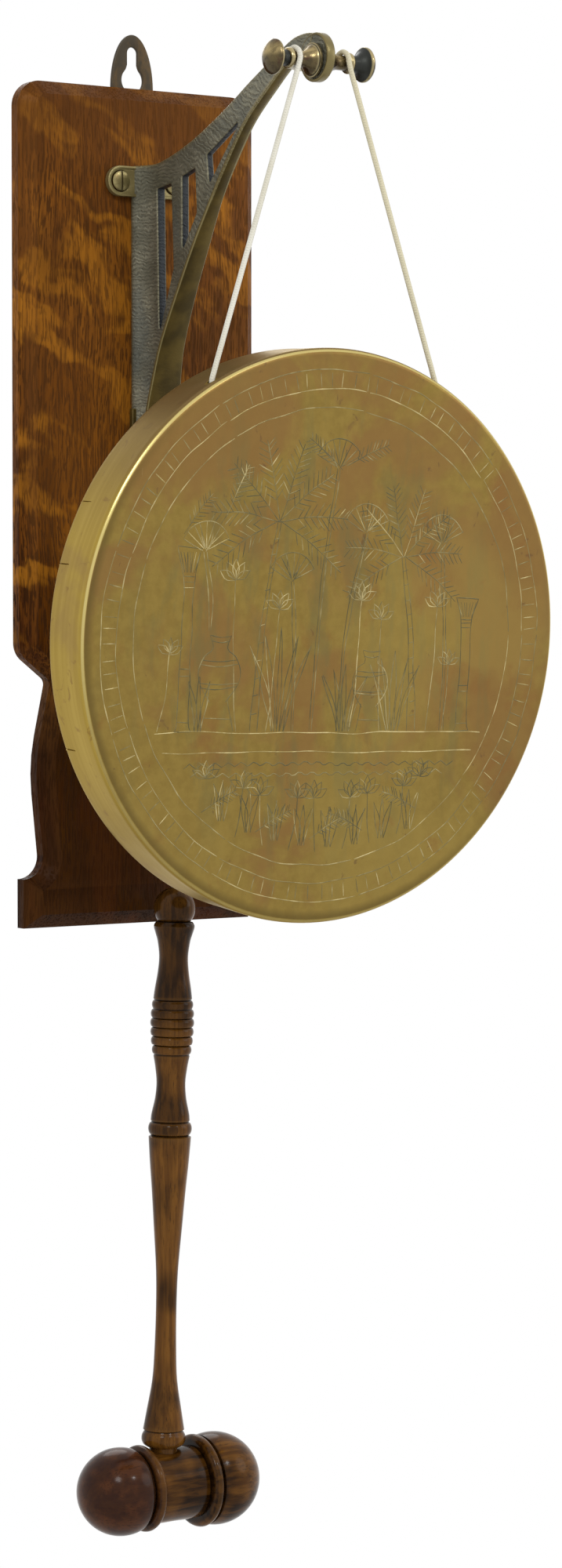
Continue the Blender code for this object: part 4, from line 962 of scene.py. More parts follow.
def make_camera():
    lift = cos(CAMERA_ELEVATION)
    way = (-sin(CAMERA_AZIMUTH) * lift, cos(CAMERA_AZIMUTH) * lift, -sin(CAMERA_ELEVATION))
    data = bpy.data.cameras.new("camera")
    data.sensor_fit = "VERTICAL"
    data.sensor_height = SENSOR_HEIGHT
    data.lens = FOCAL_PIXELS * SENSOR_HEIGHT / PICTURE_HEIGHT
    bpy.context.scene.camera = aimed("camera", data, CAMERA_PLACE, Vector(way))


def seen_directly(tree):
    """1 for camera, glossy and transmission rays, and 0 for the rest."""
    path = new_node(tree, "LightPath", {})
    total = path["Is Camera Ray"]
    for name in ("Is Glossy Ray", "Is Transmission Ray"):
        total = new_node(tree, "Math", {0: total, 1: path[name]}, operation="MAXIMUM")[0]
    return total


def make_world():
    world = bpy.data.worlds.new("studio")
    bpy.context.scene.world = world
    world.use_nodes = True
    tree = world.node_tree
    light = tree.nodes["Background"]
    fill(tree, light.inputs, {"Color": (1, 1, 1), "Strength": WORLD_LIGHT})
    white = new_node(tree, "Background", {"Color": (1, 1, 1), "Strength": 1})
    shown = {0: seen_directly(tree), 1: light.outputs[0], 2: white[0]}
    shown = new_node(tree, "MixShader", shown)[0]
    fill(tree, tree.nodes["World Output"].inputs, {"Surface": shown})


def make_floor():
    made = bmesh.new()
    corners = ((-1, -1), (1, -1), (1, 1), (-1, 1))
    made.faces.new([made.verts.new((u * FLOOR_HALF, v * FLOOR_HALF, FLOOR_Z)) for u, v in corners])
    g = Graph("floor", roughness=0.9)
    fill(g.tree, g.shader.inputs, {"Base Color": (0.86, 0.86, 0.85)})
    white = g.node("Emission", {"Strength": 1})[0]
    length = g.node("VectorMath", {0: g.mapped((1, 1, 0))}, operation="LENGTH")["Value"]
    amount = g.times(g.span(length, 450.0, 1150.0, 0.3, 1.0), seen_directly(g.tree))
    shown = g.node("MixShader", {0: amount, 1: g.shader.outputs[0], 2: white})[0]
    fill(g.tree, g.tree.nodes["Material Output"].inputs, {"Surface": shown})
    floor = as_object("floor", made, g.made)


def make_lamp(name, place, size, power):
    data = bpy.data.lights.new(name, "AREA")
    data.shape = "DISK"
    data.size = size
    data.energy = power
    aimed(name, data, place, Vector(AIM) - Vector(place))


def make_stage():
    make_world()
    make_floor()
    make_lamp("key", (-1.25, -1.5, 1.15), 0.6, 13)
    make_lamp("window", (0.45, -1.75, 0.95), 0.22, 6)
    make_lamp("fill", (1.7, -1.3, 0.35), 1.2, 6)
    make_lamp("back", (0.7, 1.6, 0.9), 1.2, 8)
    bpy.context.scene.view_settings.view_transform = "Standard"


# The cord


def rim_point(side, inward):
    """The middle of a cord hole, as far inwards of the rim as is given, from the spool's axis."""
    turn = side * HOLE_ANGLE
    radius = GONG_RADIUS - GONG_TAPER * HOLE_DEPTH / GONG_DEPTH - inward
    return SPOOL_FROM_DISH @ Vector((radius * sin(turn), HOLE_DEPTH, radius * cos(turn)))


def strand_start(side):
    return Vector((side * NECK_X * SPOOL_STRETCH[side], -WRAP_RADIUS, -CORD_JOIN))


def strand_bend(side):
    """Where a strand starts to bend into its hole, the hole's middle and the strand's end."""
    hole = rim_point(side, GONG_SHEET / 2)
    inside = rim_point(side, GONG_SHEET / 2 + STRAND_END)
    outward = (hole - inside).normalized() * STRAND_LEAN
    bend = hole + (strand_start(side) - hole).normalized() * STRAND_BEND + outward
    return bend, hole, inside


def cord_route():
    """The whole cord from the left hole over the spool and down to the right hole."""
    left = vectors(BRIDGE_ROUTE)
    stretch = SPOOL_STRETCH[1] / SPOOL_STRETCH[-1]
    right = [Vector((-p.x * stretch, p.y, p.z)) for p in reversed(left[:-1])]
    ends = []
    for side in (-1, 1):
        start = strand_start(side)
        bend, hole, inside = strand_bend(side)
        straight = [start.lerp(bend, part) for part in (0.03, 0.1, 0.25, 0.5, 0.75, 0.93)]
        ends.append([*straight, bend, hole, inside])
    coarse = [*reversed(ends[0]), *left, *right, *ends[1]]
    return [FRAME_FROM_SPOOL @ p for p in evenly(smooth(coarse, 8), 1 * MM)]


def plait(obj, route, sides):
    """Gives a cord's mesh the way along it in millimetres and twice the turn round it."""
    lengths = [0.0] * (len(TUBE_ENDS) + 1)
    for a, b in zip(route, route[1:]):
        lengths.append(lengths[-1] + (b - a).length / MM)
    lengths += [lengths[-1]] * len(TUBE_ENDS)
    layer = obj.data.attributes.new("plait", "FLOAT_VECTOR", "POINT")
    turns = [4 * pi * s / sides for s in range(sides)]
    flat = [value for along in lengths for turn in turns for value in (along, turn, 0.0)]
    layer.data.foreach_set("vector", flat)


def make_cord(cotton):
    route = cord_route()
    made = sweep(route, CORD_DIAMETER / 2, CORD_SIDES)
    nodes = ("cord_left", "cord_right", "cord_bridge")
    cord = piece("cord", made, cotton, None, nodes, Matrix())
    plait(cord, route, CORD_SIDES)
    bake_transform(cord)
    knots = [make_knot(side, cotton) for side in (-1, 1)]


def make_knot(side, cotton):
    """An overhand knot pulled tight against the inside of the rim, with a short tail."""
    _, hole, inside = strand_bend(side)
    along = (inside - hole).normalized()
    around = along.orthogonal().normalized()
    third = along.cross(around)
    route = []
    for part in (k / KNOT_STEPS for k in range(KNOT_STEPS + 1)):
        turn = 2 * pi * KNOT_TURNS * part
        width = KNOT_COIL * min(1, 5 * part, 5 * (1 - part) + 0.1)
        depth = KNOT_START + KNOT_REACH * (part + 0.16 * sin(4 * pi * part))
        out = around * cos(turn) + third * sin(turn)
        route.append(inside + along * depth + out * width)
    for k in range(1, 7):
        depth = KNOT_START + KNOT_REACH + k * KNOT_TAIL_STEP
        droop = Vector((0, 0, -0.16 * MM * k * k / 6))
        route.append(inside + along * depth + droop)
    route = evenly(smooth(route, 2), 0.4 * MM)
    made = sweep(route, CORD_DIAMETER / 2 * 0.97, KNOT_SIDES)
    name = "left" if side < 0 else "right"
    node = f"cord_knot_{name}"
    knot = piece(f"knot_{name}", made, cotton, "gong", (node,), FRAME_FROM_SPOOL)
    plait(knot, route, KNOT_SIDES)
    return knot


# The board and the plate it hangs by


def hanger_outline(margin=0.0):
    """The keyhole plate's outline: half an ellipse over straight sides and round corners."""
    half = HANGER_WIDTH / 2 + margin
    top = HANGER_TOP + margin
    low = HANGER_BOTTOM - margin + HANGER_CORNER
    side = half - HANGER_CORNER
    arch = [Vector((half * p.x, top * p.y)) for p in arc((0, 0), 1, 0, 180, 60)]
    left = arc((-side, low), HANGER_CORNER, 180, 270, 12)
    return [*arch, *left, *arc((side, low), HANGER_CORNER, 270, 360, 12)]


def keyhole_outline():
    """A round entry below, drawn in by two curves to the slot that holds the wall screw."""
    shoulder = [
        (KEYHOLE_RADIUS * 0.66, KEYHOLE_Z + KEYHOLE_RADIUS * 0.77),
        (KEYSLOT_HALF + KEYHOLE_SHOULDER[0], KEYHOLE_Z + KEYHOLE_SHOULDER[1]),
        (KEYSLOT_HALF, KEYHOLE_Z + KEYSLOT_START),
    ]
    entry = arc((0, KEYHOLE_Z), KEYHOLE_RADIUS, -90, 42, 18)
    right = [*entry, *smooth(shoulder, 4), *arc((0, -BOARD_TOP), KEYSLOT_HALF, 0, 90, 8)]
    return right + [Vector((-p.x, p.y)) for p in reversed(right[1:-1])]


def make_board(oak):
    right = [mm(*corner) for corner in BOARD_EDGE]
    outline = fillet([(-x, z, radius) for x, z, radius in right] + right[::-1])
    inner = inset(outline, BOARD_CHAMFER)
    made = bmesh.new()
    levels = ((outline, 0), (outline, -(BOARD_THICK - BOARD_CHAMFER)), (inner, -BOARD_THICK))
    rings = [[made.verts.new((p.x, y, p.y)) for p in points] for points, y in levels]
    cap(made, rings)
    skin(made, rings)
    bmesh.ops.remove_doubles(made, verts=made.verts, dist=0.01 * MM)
    recess = prism(hanger_outline(GAP), "Y", -(HANGER_THICK + GAP), 1 * MM)
    made = carve(made, [recess], bevel=0.55 * MM, bevel_angle=radians(25))
    ridge_wear(piece("board", made, oak, "board", ("backboard",)), radians(22))


def make_hanger(metal):
    holes = [circle((0, z), HANGER_SCREW[0] + GAP, 32) for _, z in HANGER_SCREWS]
    outlines = [hanger_outline(), keyhole_outline(), *holes]
    made = slab(outlines, -HANGER_THICK, 0, 0.45 * MM, "Y")
    plate = piece("keyhole_plate", made, metal, "board", ("hanger_plate",))
    ridge_wear(plate, radians(25))


def make_screw(name, at, head, sink, dome, length, slot_turn, facing, metal):
    """A slotted wood screw. Facing 1 turns its head to -Y, and facing -1 turns it to +Y."""
    crown = [(dome * cos(pi / 2 * k / 6), head * sin(pi / 2 * k / 6)) for k in range(7)]
    shank = [(-sink, SCREW_SHANK), (-length + 2.5 * MM, SCREW_SHANK), (-length, 0)]
    profile = [*crown, (-0.35 * MM, head), *shank]
    made = lathe([(-facing * along, radius) for along, radius in profile], "Y", 40)
    reach = head + 1 * MM
    corners = ((-1, -reach), (1, -reach), (1, reach), (-1, reach))
    slot = [Matrix.Rotation(slot_turn, 2) @ Vector((u * SCREW_SLOT_HALF, v)) for u, v in corners]
    depth = sorted((-facing * (dome + 1 * MM), -facing * (dome - SCREW_SLOT_DEPTH)))
    made = carve(made, [prism(slot, "Y", *depth)], bevel=0.1 * MM)
    place = FRAME_FROM_BOARD @ Matrix.Translation(at)
    screw = piece("slotted_" + name, made, metal, "board", (name,), place)
    floor = at[1] - facing * (dome - SCREW_SLOT_DEPTH + 0.3 * MM)
    # The slot's floor is marked for painted shade in the slot
    sunk = []
    for vert in screw.data.vertices:
        spot = vert.co - place.translation
        off = Matrix.Rotation(-slot_turn, 2) @ Vector((spot.x, spot.z))
        deep = facing * (vert.co.y - floor) > 0
        sunk.append(deep and abs(off.x) < SCREW_SLOT_HALF * 1.2)
    numbers(screw, "hollow_shade", sunk)
    ridge_wear(screw, radians(60))


# The bracket


def side_view():
    """The bracket's outline in the (y, z) plane, and its front edge by itself."""
    front = smooth(vectors(FRONT_EDGE), 8)
    outline = [*smooth(vectors(TOP_EDGE), 8), *front, Vector((BRACKET_BACK, front[-1].y))]
    return outline, front


def web_half(y):
    """Half the web's thickness: wide on the board, flaring in to a thin web."""
    depth = BRACKET_BACK - y - FOOT_THICK
    if depth < 0:
        return FOOT_HALF
    if depth < FOOT_DEPTH:
        part = depth / FOOT_DEPTH
        return WEB_HALF_BACK + (FOOT_HALF - WEB_HALF_BACK) * (1 - part) ** FOOT_POWER
    part = min(1, (depth - FOOT_DEPTH) / (WEB_THIN_DEPTH - FOOT_DEPTH))
    half = WEB_HALF_BACK + (WEB_HALF_FRONT - WEB_HALF_BACK) * part
    near_boss = clamped((SPOOL_Y + WEB_SWELL_START - y) / WEB_SWELL_REACH)
    return half + (BOSS_THICK / 2 - 0.12 * MM - half) * near_boss


def make_web():
    """The openwork web, thick as web_half says, on a grid fine enough to take that curve.

    For each of its points, it also gives the distances to the outline and to the slots, and
    whether the point is on a wall, away from the sides' edges.
    """
    outline, front = side_view()
    slots = []
    for corners in SLOTS:
        slots.append(fillet([(*mm(y, z), SLOT_CORNER) for y, z in corners], radians(30)))
    made = slab([outline, *slots], -WEB_REACH, WEB_REACH, WEB_SOFT, "X")
    for axis, low, high in ((1, -154 * MM, -12.5 * MM), (2, -198 * MM, 10 * MM)):
        count = round((high - low) / WEB_GRID)
        normal = Vector([float(i == axis) for i in range(3)])
        for k in range(1, count):
            everything = [*made.verts, *made.edges, *made.faces]
            place = normal * (low + (high - low) * k / count)
            bmesh.ops.bisect_plane(made, geom=everything, plane_co=place, plane_no=normal)
    flat = [(v.co.y, v.co.z) for v in made.verts]
    to_front = distances(flat, front, closed=False)
    to_edge = distances(flat, outline)
    to_slot = numpy.min([distances(flat, slot) for slot in slots], axis=0)
    facts = []
    for vert, near_front, near_edge, near_slot in zip(made.verts, to_front, to_edge, to_slot):
        side = 1 if vert.co.x > 0 else -1
        inwards = WEB_REACH - abs(vert.co.x)
        near = max(0, 1 - near_front / WEB_FILLET_REACH)
        half = web_half(vert.co.y) + WEB_FILLET * near * near
        wall = inwards > WEB_SOFT * 0.9
        if not wall:
            lump = noise.noise(Vector((side * 3, vert.co.y * 110, vert.co.z * 110)))
            half += WEB_LUMP * lump * min(1, min(near_edge, near_slot) / (2 * MM))
        vert.co.x = side * (half - min(inwards, WEB_SOFT if wall else inwards))
        facts.append((near_edge, near_slot, wall))
    return made, facts


def strap_half(z):
    """Half the strap's width at a height, in metres."""
    points = smooth(vectors(STRAP_WIDTHS), 3)
    return float(numpy.interp(-z, [-p.x for p in points], [p.y for p in points]))


def strap_section(half):
    """The strap's section as (across, inwards), crowned on its front."""
    inner = half - STRAP_SOFT
    back = STRAP_THICK - STRAP_SOFT
    right = ((inner, back, 90), (inner, STRAP_SOFT, 0))
    left = ((-inner, STRAP_SOFT, -90), (-inner, back, -180))
    arcs = [arc((u, v), STRAP_SOFT, start, start - 90, 3) for u, v, start in right + left]
    crown = []
    for part in (0.75, 0.45, 0.15, -0.15, -0.45, -0.75):
        crown.append(Vector((inner * part, -STRAP_CROWN * (1 - part * part))))
    return [*arcs[0], *arcs[1], *crown, *arcs[2], *arcs[3]]


def make_strap():
    """The strap down the bracket's front edge, crowned, with rounded edges."""
    front = evenly(side_view()[1], 2 * MM)
    made = bmesh.new()
    rings = []
    for i, here in enumerate(front):
        along = way_past(front, i)
        inwards = left_of(along)
        ring = []
        for u, v in strap_section(strap_half(here.y)):
            spot = here + inwards * v
            ring.append(made.verts.new((u, spot.x, spot.y)))
        rings.append(ring)
    skin(made, rings)
    cap(made, rings)
    return made


def make_boss():
    """The round boss at the bracket's end, with a fine lip round each face."""
    rows = ((0.35, 1.5), (0.1, 1.1), (0, 0.8), (0.1, 0.35), (0.35, 0.1), (0.7, 0))
    side = [(BOSS_THICK / 2 - 0.35 * MM, STUD_RADIUS + GAP)]
    side += [(BOSS_THICK / 2 - u * MM, BOSS_RADIUS - v * MM) for u, v in rows]
    made = lathe(side + [(-along, radius) for along, radius in reversed(side)], "X", 96)
    made.transform(Matrix.Translation((0, SPOOL_Y, BOSS_Z)))
    return made


def make_lugs():
    """Two round lugs in one plate, with a raised rim, and the tail's plate below them."""
    middle, radius = (LUG_TOP + LUG_BOTTOM) / 2, (LUG_TOP - LUG_BOTTOM) / 2
    outline = arc((LUG_HALF_SPAN - radius, middle), radius, -90, 90, 24)
    outline += arc((radius - LUG_HALF_SPAN, middle), radius, 90, 270, 24)
    seats = [circle((x, z), BRACKET_SCREW[0] + GAP, 40) for _, x, z, _ in BRACKET_SCREWS]
    plate = slab([outline, *seats[:2]], LUG_FRONT + LUG_RECESS, BRACKET_BACK, 0.3 * MM, "Y")
    rim_back = LUG_FRONT + LUG_RECESS + 0.9 * MM
    rim = slab([outline, offset(outline, LUG_RIM)], LUG_FRONT, rim_back, 0.4 * MM, "Y")
    end = arc((0, TAIL_BOTTOM + TAIL_HALF), TAIL_HALF, 180, 360, 32)
    tail = [Vector((-TAIL_HALF, TAIL_TOP)), *end, Vector((TAIL_HALF, TAIL_TOP))]
    return plate, rim, slab([tail, seats[2]], LUG_FRONT, BRACKET_BACK, 0.6 * MM, "Y")


def make_bracket(metal):
    web, facts = make_web()
    parts = (web, make_strap(), make_boss(), *make_lugs())
    ends = numpy.cumsum([len(part.verts) for part in parts])
    arm = piece("arm", join(*parts), metal, "board", ("bracket",))
    cast, slot_shades, polish, bright = numpy.zeros((4, ends[-1]))
    cast[: ends[0]] = 1
    bright[ends[2] : ends[4]] = 1
    for i, (near_edge, near_slot, wall) in enumerate(facts):
        # The slots' walls are marked for painted shade
        slot_shades[i] = wall and near_slot < near_edge
        edge = min(near_edge, near_slot * 1.8)
        rub_and_highlight = 0.35 if near_slot * 1.8 < near_edge else 1.0
        polish[i] = max(0.0, 1 - edge / (1.3 * MM)) * (0 if slot_shades[i] else rub_and_highlight)
    for i in range(ends[0], ends[1]):
        spot = arm.data.vertices[i].co
        polish[i] = 0.9 if abs(spot.x) > strap_half(spot.z - BOARD_TOP) - 0.5 * MM else 0.0
    for i in range(ends[1], ends[2]):
        spot = arm.data.vertices[i].co - Vector((0, SPOOL_Y, BOSS_Z + BOARD_TOP))
        lip = Vector((spot.y, spot.z)).length
        cast[i] = lip < BOSS_RADIUS - 1.3 * MM
        polish[i] = 0.8 if lip > BOSS_RADIUS - 0.6 * MM and abs(spot.x) > BOSS_THICK * 0.3 else 0.3
        polish[i] *= 1 - cast[i]
    for name, values in zip(("cast", "slot_wall_shade", "wear_and_highlight", "bright"), (cast, slot_shades, polish, bright)):
        numbers(arm, name, values)


# The spool


def spool_profile(stretch):
    """Half the spool from the boss outwards, as (along, radius, hollow shade, wear and highlight),
    where the hollow shade is painted shade in its hollows.
    """
    start = BOSS_THICK / 2 + GAP
    rows = [(start, STUD_RADIUS + GAP, 0.5, 0)]
    flange = (
        (0, 0.25, 0.5, 0),
        (0.12, 0, 0, 0.8),
        (0.42, 0, 0, 0.2),
        (0.52, 0.18, 1, 0),
        (0.62, 0, 0, 0.3),
        (0.98, 0, 0, 0.4),
        (1.1, 0.2, 0, 0.8),
    )
    rows += [(start + u * MM, FLANGE_RADIUS - v * MM, *looks) for u, v, *looks in flange]
    flange_end = start + FLANGE_THICK
    rows.append((flange_end + 0.02 * MM, NECK_RADIUS + FLARE_RISE + 0.15 * MM, 0.9, 0))
    for part in (k / 14 for k in range(15)):
        radius = NECK_RADIUS + FLARE_RISE * (1 - part) ** FLARE_POWER
        rows.append((start + FLARE_START + FLARE_LENGTH * part, radius, 0, 0 if part else 0.6))
    rows.append((14.0 * MM, NECK_RADIUS, 0.3, 0))
    for point in arc(mm(15.5, 3.3), 1.4 * MM, 160, 20, 10):
        rows.append((*point, 0, 0.85 if point.y > 4.3 * MM else 0.1))
    rows += [(*p, 1.0, 0) for p in smooth(vectors(DISC_HOLLOW), 4)]
    dome = smooth(vectors(DISC_DOME), 5)
    rows += [(p.x, max(0, p.y), 0, 0.75 if p.x < 23.5 * MM else 0) for p in dome]
    for i, (along, *rest) in enumerate(rows):
        if along > flange_end:
            rows[i] = (start + (along - start) * stretch, *rest)
    return [*rows, (STUD_DEPTH, 0, 0, 0), (STUD_DEPTH, STUD_RADIUS + GAP, 0, 0)]


def make_spool(brass):
    for name, side in (("left", -1), ("right", 1)):
        rows = spool_profile(SPOOL_STRETCH[side])
        made = lathe([(side * along, radius) for along, radius, *_ in rows], "X", SPOOL_SIDES)
        label, node = f"turned_spool_{name}", f"spool_{name}"
        half = piece(label, made, brass, "board", (node,), FRAME_FROM_SPOOL)
        row_numbers(half, rows, SPOOL_SIDES, "hollow_shade", "wear_and_highlight")


# The gong dish


def dish_profile():
    """(depth, radius, inside, wall, wear and highlight, painted shade) from the face's middle,
    round the rim and in. The band round the rounded edge is a painted highlight, and the painted
    shade a darker band on the face's outer ring and the edge's front.
    """
    flat = GONG_RADIUS - GONG_EDGE
    slope = GONG_TAPER / GONG_DEPTH
    # The face's outer ring is marked for a painted darker band
    rows = [(0, flat * k, 0, 0, 0, 0.9 if k > 0.985 else 0) for k in (i / 40 for i in range(40))]
    for p, turn in zip(arc((flat, 0), GONG_EDGE, 90, 0, 15), range(90, -1, -6)):
        # Painted highlight: a bright band along the rounded edge, from 42 to 60 degrees round it
        wear_and_highlight = float(42 <= turn <= 60)
        rows.append((GONG_EDGE - p.y, p.x, 0, float(turn <= 40), wear_and_highlight, 0.9 if turn > 70 else 0))
    for k in range(1, 13):
        depth = GONG_EDGE + (GONG_DEPTH - 0.45 * MM - GONG_EDGE) * k / 12
        rows.append((depth, GONG_RADIUS - slope * depth, 0, 1, 0, 0))
    last = GONG_RADIUS - GONG_TAPER
    rows += [
        (GONG_DEPTH - 0.1 * MM, last - 0.15 * MM, 0, 1, 0.6, 0),
        (GONG_DEPTH, last - 0.45 * MM, 0.5, 1, 0.6, 0),
        (GONG_DEPTH, last - GONG_SHEET + 0.35 * MM, 0.5, 1, 0.3, 0),
        (GONG_DEPTH - 0.3 * MM, last - GONG_SHEET, 1, 0, 0, 0),
    ]
    inner = []
    for k in range(1, 9):
        depth = GONG_DEPTH - (GONG_DEPTH - GONG_EDGE) * k / 8
        inner.append((depth, GONG_RADIUS - slope * depth - GONG_SHEET))
    bend = arc((flat, 0), GONG_EDGE - GONG_SHEET, 0, 90, 5)
    inner += [(GONG_EDGE - p.y, p.x) for p in bend[1:]]
    inner += [(GONG_SHEET, flat * (1 - k / 14)) for k in range(1, 14)]
    return rows + [(*place, 1, 0, 0, 0) for place in [*inner, (GONG_SHEET, 0)]]


def face_wave(u, v):
    """The face's slow unevenness at a place on it, forward of flat, and none at its edge."""
    heights = [h * noise.noise(Vector((u * scale, seed, v * scale))) for scale, seed, h in WAVES]
    return sum(heights) * MM * clamped((GONG_RADIUS - GONG_EDGE - hypot(u, v)) / WAVE_FADE)


def dish_turns():
    """The angles round the dish, closer together at the cracks in its rim."""
    turns = [2 * pi * k / 240 for k in range(240)]
    for crack in CRACKS:
        turns = [turn for turn in turns if abs(turn - crack) > radians(0.5)]
        turns += [crack + radians(d) for d in (-0.45, -0.16, 0, 0.10, 0.45)]
    return sorted(turns)


def rim_width(u, v, depth, turn):
    """How much wider than round the rim is at a place: slow waves, and the cracks' two lips."""
    lump = noise.noise(Vector((u * 26, depth * 60, v * 26)))
    wide = 1.0 + 0.0016 * lump * min(1, depth / (6 * MM))
    if depth > GONG_DEPTH - CRACK_REACH:
        for crack in CRACKS:
            if abs(turn - crack) < 1e-6:
                wide -= 0.0055
            elif 0 < turn - crack < radians(0.2):
                wide += 0.0016
    return wide


def make_dish(metal):
    turns = dish_turns()
    made = bmesh.new()
    names = ("inside", "wall", "wear_and_highlight", "painted_shade")
    layers = [made.verts.layers.float.new(name) for name in names]
    local, turned = [made.verts.layers.float_vector.new(name) for name in ("local", "turned")]
    rings = []
    for depth, radius, *looks in dish_profile():
        ring = []
        for turn in turns if radius > 0 else turns[:1]:
            u, v = -radius * sin(turn), radius * cos(turn)
            wide = rim_width(u, v, depth, turn) if radius > GONG_RADIUS - 8 * MM else 1.0
            vert = made.verts.new((u * wide, depth - face_wave(u, v), v * wide))
            for layer, value in zip(layers, looks):
                vert[layer] = value
            vert[local] = (u / MM, depth / MM, v / MM)
            vert[turned] = (min(turn, 2 * pi - turn) * RIM_PER_RADIAN, depth / MM, 0)
            ring.append(vert)
        rings.append(ring)
    skin(made, rings)
    made.transform(SPOOL_FROM_DISH)
    cutters = []
    reach, radius = HOLE_REACH, HOLE_RADIUS
    bore = ((-reach, 0), (-reach, radius), (reach, radius), (reach, 0))
    for side in (-1, 1):
        bend, centre, inner = strand_bend(side)
        cutters.append(lathe(bore, "Z", 28))
        aim = (inner - bend).to_track_quat("Z", "Y").to_matrix().to_4x4()
        cutters[-1].transform(Matrix.Translation(centre) @ aim)
    made = carve(made, cutters)
    piece("dish", made, metal, "gong", ("gong_dish",), FRAME_FROM_SPOOL)


# The engraving on the dish's face: plants, jars and water in a laddered border, in millimetres


def segment(*points):
    return [Vector(p) for p in points]


def curve(*points):
    return smooth(points, 6)


def mirrored(lines, middle):
    return [[Vector((2 * middle - p.x, p.y)) for p in line] for line in lines]


def upright(turn):
    """The direction at a turn from upright, in degrees."""
    return Vector((sin(radians(turn)), cos(radians(turn))))


def leaf(root, turn, size):
    """An arching leaf with its leaflets, growing at a turn from upright."""
    way = upright(turn)
    drop = Vector((0, -0.0016 * abs(turn) * size))
    rib = curve(root, root + way * 0.52 * size + drop * 0.2, root + way * size + drop)
    lines = [rib]
    for k in range(3, len(rib) - 1):
        along = way_past(rib, k)
        reach = 0.17 * size * (1 - 0.5 * abs(2 * k / len(rib) - 1))
        for side in (-1, 1):
            out = left_of(along) * side
            lines.append([rib[k], rib[k] + (along * 0.8 + out) * reach])
    return lines


def palm(u, v, height, sway, size):
    """A palm: a double trunk with rings, and arching leaves."""
    top = Vector((u + sway, v + height))
    lines = []
    for side in (-1, 1):
        middle = (u + side * 1.2 + 0.3 * sway, v + 0.5 * height)
        lines.append(curve((u + side * 2.2, v), middle, (top.x + side, top.y)))
    for part in (k / 12 for k in range(1, 12)):
        middle = u + sway * part * (0.2 + 0.8 * part)
        low = v + height * part
        lines.append(curve((middle - 1.5, low), (middle + 1.5, low + 0.8)))
    for turn in (-112, -78, -44, -14, 18, 48, 80, 114):
        lines += leaf(top, turn, size)
    return lines


def papyrus(u, v, height, sway):
    """A papyrus: a double stem and an open fan with its rays."""
    top = Vector((u + sway, v + height))
    lines = []
    for side in (-0.8, 0.8):
        middle = (u + side + 0.25 * sway, v + 0.55 * height)
        lines.append(curve((u + side, v), middle, (top.x + side, top.y)))
    ways = [upright(turn) for turn in range(-64, 65, 16)]
    lines += [[top + way * 1.5, top + way * 13] for way in ways]
    lines.append(smooth([top + way * 13 for way in ways], 4))
    for side in (-1, 1):
        lines.append(curve(top, top + Vector((side * 2.6, 4.5)), top + Vector((side * 3.4, 8.5))))
    return lines


def lotus(u, v, height, sway, size=7.0):
    """A lotus: one bent stem and a flower of pointed petals."""
    top = Vector((u + sway, v + height))
    lines = [curve((u, v), (u + 0.7 * sway, v + 0.45 * height), top)]
    for way in map(upright, (-62, -32, 0, 32, 62)):
        out = Vector((way.y, -way.x)) * size * 0.22
        for side in (-1, 1):
            lines.append(curve(top, top + way * size * 0.5 + out * side, top + way * size))
    return lines


def reeds(u, v, height, count=5):
    """A clump of long narrow leaves."""
    lines = []
    for off in (k - (count - 1) / 2 for k in range(count)):
        lean = off * 0.16
        tall = height * (1 - 0.09 * abs(off))
        tip = Vector((u + 2.2 * off + lean * tall, v + tall))
        root = Vector((u + 1.5 * off, v))
        for side in (-1, 1):
            middle = root.lerp(tip, 0.5) + Vector((side * 1.3 - lean * 6, 0))
            lines.append(curve(root, middle, tip))
    return lines


def jar(u, v, height):
    """A tall jar on a stand, with bands round its body."""
    shape = ((0.10, 0.30), (0.23, 0.46), (0.27, 0.62), (0.20, 0.78), (0.09, 0.86), (0.13, 1.0))
    side = curve(*[(u + w * height, v + t * height) for w, t in shape])
    lines = [side, *mirrored([side], u)]
    for t, w in ((1.0, 0.13), (0.94, 0.11), (0.74, 0.22), (0.70, 0.24), (0.50, 0.24), (0.46, 0.23)):
        w, t = w * height, v + t * height
        lines.append(curve((u - w, t), (u, t - 0.02 * height), (u + w, t)))
    leg = segment((u + 0.20 * height, v), (u + 0.12 * height, v + 0.34 * height))
    rung, rise = 0.17 * height, v + 0.14 * height
    return [*lines, leg, *mirrored([leg], u), segment((u - rung, rise), (u + rung, rise))]


def column(u, v, height):
    """A banded column with a spreading top."""
    shape = ((4.2, v), (3.0, v + 3), (2.6, v + 0.5 * height), (2.8, v + 0.84 * height))
    shape += ((6.2, v + height),)
    lines = [curve(*[(u + side * half, rise) for half, rise in shape]) for side in (-1, 1)]
    bands = [(part, 2.8) for part in (0.30, 0.34, 0.78, 0.81, 0.84)]
    for part, half in [(0.0, 4.4), (0.05, 3.1), *bands, (1, 6.4)]:
        lines.append(segment((u - half, v + part * height), (u + half, v + part * height)))
    for k in range(-3, 4):
        lines.append(segment((u + k * 0.8, v + 0.86 * height), (u + k * 1.7, v + 0.97 * height)))
    return lines


def water(u_from, u_to, v):
    """A row of ripples, as a zigzag."""
    count = round((u_to - u_from) / 3.4)
    return [segment(*[(u_from + 3.4 * k, v + (1.1 if k % 2 else -1.1)) for k in range(count + 1)])]


def border():
    lines = []
    for radius in BORDER_CIRCLES:
        for start in range(0, 360, 40):
            lines.append(arc((0, 0), radius, start + 0.3, start + 39.4, 24))
    high, low, _ = BORDER_CIRCLES
    for k in range(LADDER_TICKS):
        turn = 360 * (k + (0.22 if k % 3 == 0 else 0)) / LADDER_TICKS
        inner, outer = [arc((0, 0), radius, turn, turn, 1)[0] for radius in (low, high)]
        lines.append([inner.lerp(outer, 0.08), inner.lerp(outer, 0.86)])
    return lines


def chord_half(v, margin):
    """How far the inner circle reaches to each side at a height, less a margin."""
    return sqrt(BORDER_CIRCLES[2] ** 2 - v * v) - margin


